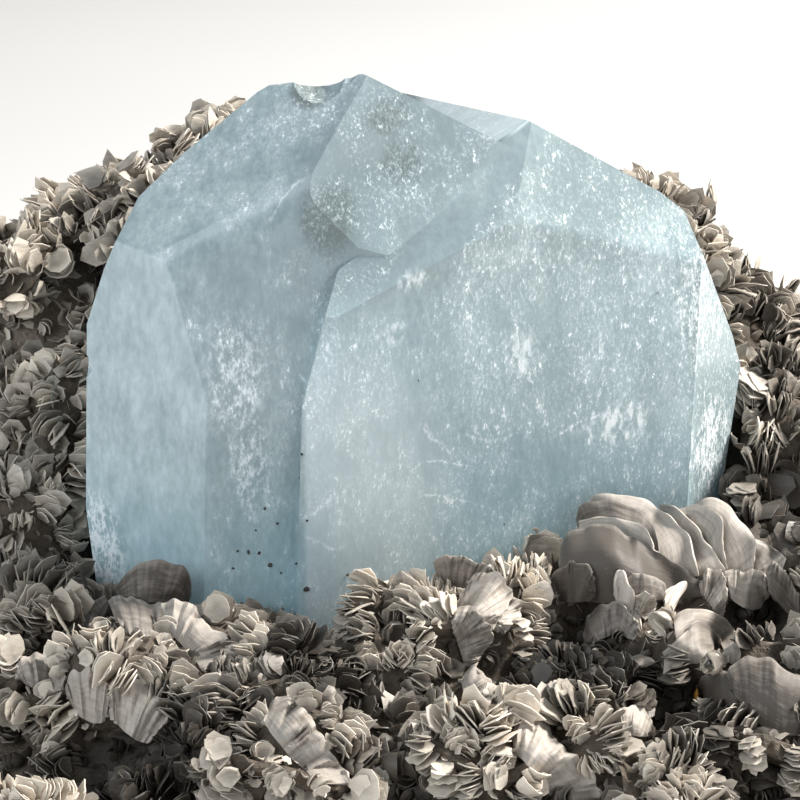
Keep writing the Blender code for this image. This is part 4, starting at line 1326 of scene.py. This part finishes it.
class Sight:
    """The camera's lines of sight: its eye, and the way to a point across and up from its aim."""

    UP = Vector((0.0, math.sin(CAMERA_ELEVATION), math.cos(CAMERA_ELEVATION)))
    AHEAD = Vector((0.0, math.cos(CAMERA_ELEVATION), -math.sin(CAMERA_ELEVATION)))
    EYE = Vector((0.0, 0.0, AIM_HEIGHT)) - AHEAD * CAMERA_DISTANCE

    @classmethod
    def way(cls, across, up):
        """The way for one millimetre along Y."""
        line = cls.AHEAD * CAMERA_DISTANCE + Vector((across, 0.0, 0.0)) + cls.UP * up
        return line / line.y

    @classmethod
    def seen(cls, points):
        """Where points show, across and up from the aim, as an array."""
        away = points - np.array(cls.EYE)
        ahead = away @ np.array(cls.AHEAD) / CAMERA_DISTANCE
        return np.stack([away[:, 0] / ahead, away @ np.array(cls.UP) / ahead], axis=1)


def evenly(points, count):
    """Evenly spaced points along a line through points, with its corners rounded."""
    points = np.array(points).T
    along = np.concatenate(([0.0], np.cumsum(np.linalg.norm(np.diff(points, axis=0), axis=1))))
    wanted = np.linspace(0.0, along[-1], count)
    line = np.stack([np.interp(wanted, along, points[:, k]) for k in (0, 1)], axis=1)
    for _ in range(3):
        line[1:-1] = 0.5 * line[1:-1] + 0.25 * (line[:-2] + line[2:])
    return line


def under_sheets(points):
    """Which points a sheet hides from the front."""
    seen = Sight.seen(points)
    hidden = np.zeros(len(points), dtype=bool)
    for (rim_depth, foot_depth, *_), rim, foot in SHEETS:
        outline = np.concatenate((np.array(rim).T, np.array(foot).T[::-1]))
        inside = np.zeros(len(points), dtype=bool)
        for (a, b), (c, d) in zip(outline, np.roll(outline, 1, axis=0)):
            if b != d:
                crossed = (seen[:, 1] < b) != (seen[:, 1] < d)
                inside ^= crossed & (seen[:, 0] < a + (seen[:, 1] - b) * (c - a) / (d - b))
        hidden |= inside & (points[:, 1] < max(rim_depth, foot_depth) + 4.0)
    return hidden


def painted_light_and_shade_at(points):
    """Painted shade, below 0, or painted light on the mica at each point, as seen from the camera."""
    seen = Sight.seen(points)
    total = np.zeros(len(points))
    for place, reach, amount in PAINTED_LIGHT_AND_SHADE:
        away = ((seen - np.array(place)) / np.array(reach)) ** 2
        total += amount * np.exp(-1.4 * away.sum(axis=1))
    return total


def first_hit(trees, way):
    """The depth at which a line of sight first meets one of the surfaces, or far away."""
    hits = [tree.ray_cast(SET_OUT @ Sight.EYE, SET_OUT.to_3x3() @ way)[0] for tree in trees]
    return min([((hit - ORIGIN) / MM).y for hit in hits if hit], default=99.0)


def neighbours(grid):
    """The four cells around each cell of a grid, with its rim repeated outwards."""
    edged = np.pad(grid, 1, mode="edge")
    return edged[:-2, 1:-1], edged[2:, 1:-1], edged[1:-1, :-2], edged[1:-1, 2:]


def folded(seed, pitch, s, share):
    """Folds of a sheet at a place from -1 to 1 across it and from 0 to 1 up it, and a broad swell."""
    warp = 1.8 * noise.noise(seed + Vector((2.3 * s, 11.0, 0.8 * share)))
    ridge = noise.noise(seed + Vector((pitch * s + warp, 0.9 * share, 0.0)))
    ridge *= 1.0 + 1.2 * noise.noise(seed + Vector((3.1 * s, 5.0, share)))
    ridge += 0.35 * noise.noise(seed + Vector((2.7 * pitch * s, 4.0, 1.5 * share)))
    return ridge, noise.noise(seed + Vector((1.8 * s, 7.0 + 1.2 * share, 0.0)))


def add_sheet(heap, behind, sheet, draw):
    """A large sheet that drapes over what lies behind it, with a closed thickness."""
    (rim_depth, foot_depth, bulge, folds, tone), rim, foot = sheet
    length = np.linalg.norm(np.diff(np.array(rim), axis=1), axis=0).sum()
    rim, foot = evenly(rim, SHEET_COLUMNS + 1), evenly(foot, SHEET_COLUMNS + 1)
    seed = any_seed(draw)
    rows, wide = len(SHEET_ROWS), SHEET_COLUMNS + 1
    pitch = length * (1.1 if folds > 0.3 else 0.5)
    ways = {}
    depths, limits, ridges = np.empty((3, rows, wide))
    for i, share in enumerate(SHEET_ROWS):
        for j in range(wide):
            s = 2.0 * j / SHEET_COLUMNS - 1.0
            fringe = 0.12 * noise.noise(seed + Vector((0.8 * pitch * s, 3.0, 0.0))) * share
            ways[i, j] = Sight.way(*(foot[j] + (rim[j] - foot[j]) * (share + fringe)))
            depth = foot_depth + (rim_depth - foot_depth) * share + 1.0 * s**6
            depths[i, j] = depth - bulge * math.sin(math.pi * 0.92 * share) * (1.0 - s**4)
            limits[i, j] = first_hit(behind, ways[i, j]) - SHEET_GAP
            ridge, swell = folded(seed, pitch, s, share)
            ridges[i, j] = folds * ridge * (0.3 + share) + 0.3 * swell
    nearest = limits
    for _ in range(3):
        nearest = np.minimum.reduce([nearest, *neighbours(nearest)])
    depths = np.minimum(depths, nearest)
    for _ in range(10):
        depths = np.minimum(0.4 * depths + 0.15 * sum(neighbours(depths)), limits)
    depths = np.minimum(depths - ridges, limits)
    front = np.array([
        [Sight.EYE + ways[i, j] * (depths[i, j] - Sight.EYE.y) for j in range(wide)] for i in range(rows)
    ])
    normals = np.cross(np.gradient(front, axis=1), np.gradient(front, axis=0))
    normals /= np.maximum(np.linalg.norm(normals, axis=2), 1.0e-9)[:, :, None]
    thin = SHEET_THICKNESS * (1.0 - 0.5 * np.array(SHEET_ROWS) ** 6)[:, None, None]
    points = np.concatenate((front, front - normals * thin)).reshape(-1, 3)
    points = [Vector(point) for point in points]
    rims = [max(0.0, 8.0 * share - 7.0) for share in SHEET_ROWS for _ in range(wide)] * 2
    faces = stick_together(rows, wide)
    height = np.linalg.norm(rim - foot, axis=1).mean()
    layers = [height * share for share in SHEET_ROWS for _ in range(wide)] * 2
    ribs = list(np.linspace(0.0, length, wide)) * (2 * rows)
    heap.add(points, faces, tone, rim=rims, layer=layers, rib=ribs)
    behind.append(BVHTree.FromPolygons([SET_OUT @ point for point in points], faces))


def matrix_sheets(core, mica):
    """All the large sheets as one piece, laid over the core and over each other."""
    heap = Heap()
    draw = random.Random(SHEET_SEED)
    behind = [surface_tree(core.data)]
    for sheet in SHEETS:
        add_sheet(heap, behind, sheet, draw)
    return add_piece("mica_sheets", heap.mesh("mica_sheets"), mica)


def add_bits():
    """Small strangers among the mica: a clear bead and an orange flake."""
    glass = {"Base Color": (0.97, 0.97, 0.95), "Roughness": 0.05, "IOR": 1.54}
    glass["Transmission Weight"] = 1.0
    amber = {"Base Color": (0.62, 0.30, 0.04), "Roughness": 0.3}
    for name, place, depth, size, values in (
        ("clear_bead", (19.9, -16.7), -10.6, (0.85, 0.7, 0.75), glass),
        ("orange_flake", (18.9, -18.8), -9.6, (0.13, 0.3, 0.45), amber),
    ):
        spot = Sight.EYE + Sight.way(*place) * (depth - Sight.EYE.y)
        bm = bmesh.new()
        bmesh.ops.create_icosphere(bm, subdivisions=3, radius=1.0)
        for vert in bm.verts:
            lump = 1.0 + 0.35 * noise.noise(vert.co * 1.2 + spot)
            vert.co = SET_OUT @ (spot + Vector([c * s * lump for c, s in zip(vert.co, size)]))
        mesh = closed(bm, name)
        mesh.shade_smooth()
        finish = Finish(name)
        declare(add_piece(name, mesh, finish.finished(finish.principled(values))), "mica_matrix")


# ---------------------------------------------------------------- crystal


def heading(bearing, rise):
    """The outward direction of a face from its bearing, 0 towards -Y, and its rise, in degrees."""
    turn, lift = math.radians(bearing), math.radians(rise)
    return Vector((math.sin(turn) * math.cos(lift), -math.cos(turn) * math.cos(lift), math.sin(lift)))


def between(edge, first, second):
    """Whether an edge parts a face that points along first from one that points along second."""
    normals = [face.normal for face in edge.link_faces]
    pairs = ((first, second), (second, first))
    return any(normals[0].dot(one) > 0.999 and normals[1].dot(two) > 0.999 for one, two in pairs)


def by_the_step(edge):
    """Whether an edge bounds one of the narrow step faces where the two individuals meet."""
    around = [other for face in edge.link_faces for other in face.edges]
    return any(other.calc_face_angle_signed() < -1.2 for other in around)


def wear(bm, edges, width, segments, profile):
    """Round edges off."""
    bmesh.ops.bevel(
        bm, geom=edges, offset=width * MM, offset_type="OFFSET", segments=segments,
        profile=profile, affect="EDGES", clamp_overlap=True,
    )


def crystal_shape(crystal):
    """The CAD's crystal with its edges worn round."""
    bm = opened(crystal.data)
    bmesh.ops.remove_doubles(bm, verts=bm.verts, dist=0.002 * MM)
    bmesh.ops.dissolve_limit(
        bm, angle_limit=math.radians(0.6), verts=bm.verts, edges=bm.edges, use_dissolve_boundaries=False
    )
    for first, second, width in SOFT_EDGES:
        soft = [edge for edge in bm.edges if between(edge, heading(*first), heading(*second))]
        wear(bm, soft, width, 6, 0.5)
    worn = [
        edge
        for edge in bm.edges
        if len(edge.link_faces) == 2 and edge.calc_length() > 1.6 * MM
        and edge.calc_face_angle_signed() > math.radians(9.0) and not by_the_step(edge)
    ]
    wear(bm, worn, WORN_WIDTH, 2, 0.6)
    bmesh.ops.recalc_face_normals(bm, faces=bm.faces)
    mesh = closed(bm, "clear_crystal")
    mesh.shade_smooth()
    mesh.set_sharp_from_angle(angle=math.radians(8.0))
    return mesh


def dark_grains(space):
    """Small dark crystals that sit on the front faces, half sunk."""
    draw = random.Random(GRAIN_SEED)
    bm = bmesh.new()
    for x, z, size in DARK_GRAINS:
        start = SET_OUT @ Vector((x, -20.0, z))
        spot, _, _, _ = space.tree.ray_cast(start, Vector((0.0, 1.0, 0.0)))
        if spot is None:
            continue
        place = Matrix.Translation(spot)
        for axis in "YX":
            place = place @ Matrix.Rotation(draw.uniform(0.0, 3.0), 4, axis)
        sides = [draw.uniform(*span) for span in ((0.6, 1.0), (0.6, 1.0), (0.9, 1.5))]
        place = place @ Matrix.Diagonal((*sides, 1.0))
        bmesh.ops.create_icosphere(bm, subdivisions=1, radius=0.55 * size * MM, matrix=place)
    mesh = closed(bm, "dark_grains")
    finish = Finish("dark_mineral")
    values = {"Base Color": (0.035, 0.028, 0.020), "Roughness": 0.35}
    return add_piece("dark_grains", mesh, finish.finished(finish.principled(values)))


# ---------------------------------------------------------------- scene


def add_area_light(name, where, energy, size, colour):
    """A square light that faces the specimen."""
    light = bpy.data.lights.new(name, "AREA")
    light.energy, light.size, light.color = energy, size, colour
    lamp = bpy.data.objects.new(name, light)
    lamp.location = ORIGIN + Vector(where)
    aim = ORIGIN + Vector((0.0, 0.0, AIM_HEIGHT * MM)) - lamp.location
    lamp.rotation_euler = aim.to_track_quat("-Z", "Y").to_euler()
    bpy.context.scene.collection.objects.link(lamp)


def set_studio():
    world = bpy.data.worlds.new("studio")
    bpy.context.scene.world = world
    world.use_nodes = True
    background = world.node_tree.nodes["Background"]
    background.inputs["Color"].default_value = SKY
    background.inputs["Strength"].default_value = SKY_STRENGTH
    for light in LIGHTS:
        add_area_light(*light)
    bpy.context.scene.view_settings.view_transform = "Standard"


def add_camera():
    camera = bpy.data.cameras.new("camera")
    camera.lens, camera.sensor_width = LENS, SENSOR
    camera.clip_start, camera.clip_end = 0.01, 10.0
    holder = bpy.data.objects.new("camera", camera)
    back = Vector((0.0, -math.cos(CAMERA_ELEVATION), math.sin(CAMERA_ELEVATION)))
    holder.location = SET_OUT @ (Vector((0.0, 0.0, AIM_HEIGHT)) + back * CAMERA_DISTANCE)
    holder.rotation_euler = (math.pi / 2.0 - CAMERA_ELEVATION, 0.0, 0.0)
    bpy.context.scene.collection.objects.link(holder)
    bpy.context.scene.camera = holder


def add_floor():
    bm = bmesh.new()
    bmesh.ops.create_grid(bm, x_segments=1, y_segments=1, size=3.0)
    bmesh.ops.translate(bm, vec=(0.0, 0.0, -0.02 * MM), verts=bm.verts)
    add_piece("floor", closed(bm, "floor"), floor_finish())


def main():
    set_studio()
    add_camera()
    add_floor()
    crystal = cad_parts["barite_crystal"]
    space = CrystalSpace(crystal)
    mica = mica_finish("mica_plates", MICA_BROWN, MICA_CREAM)
    smooth_mica = mica_finish("mica_sheets", SHEET_BROWN, SHEET_CREAM, 0.46, True)
    core = matrix_core()
    core.data.materials.clear()
    core.data.materials.append(core_finish())
    grow_matrix(core, space, mica)
    space.clear(core, 0.2 * MM)
    declare(core, "mica_matrix")
    sheets = matrix_sheets(core, smooth_mica)
    space.clear(sheets, 0.12 * MM)
    declare(sheets, "mica_matrix")
    add_bits()
    clear = add_piece("clear_crystal", crystal_shape(crystal), crystal_finish())
    declare(clear, "barite_crystal")
    declare(dark_grains(space), "barite_crystal")


main()
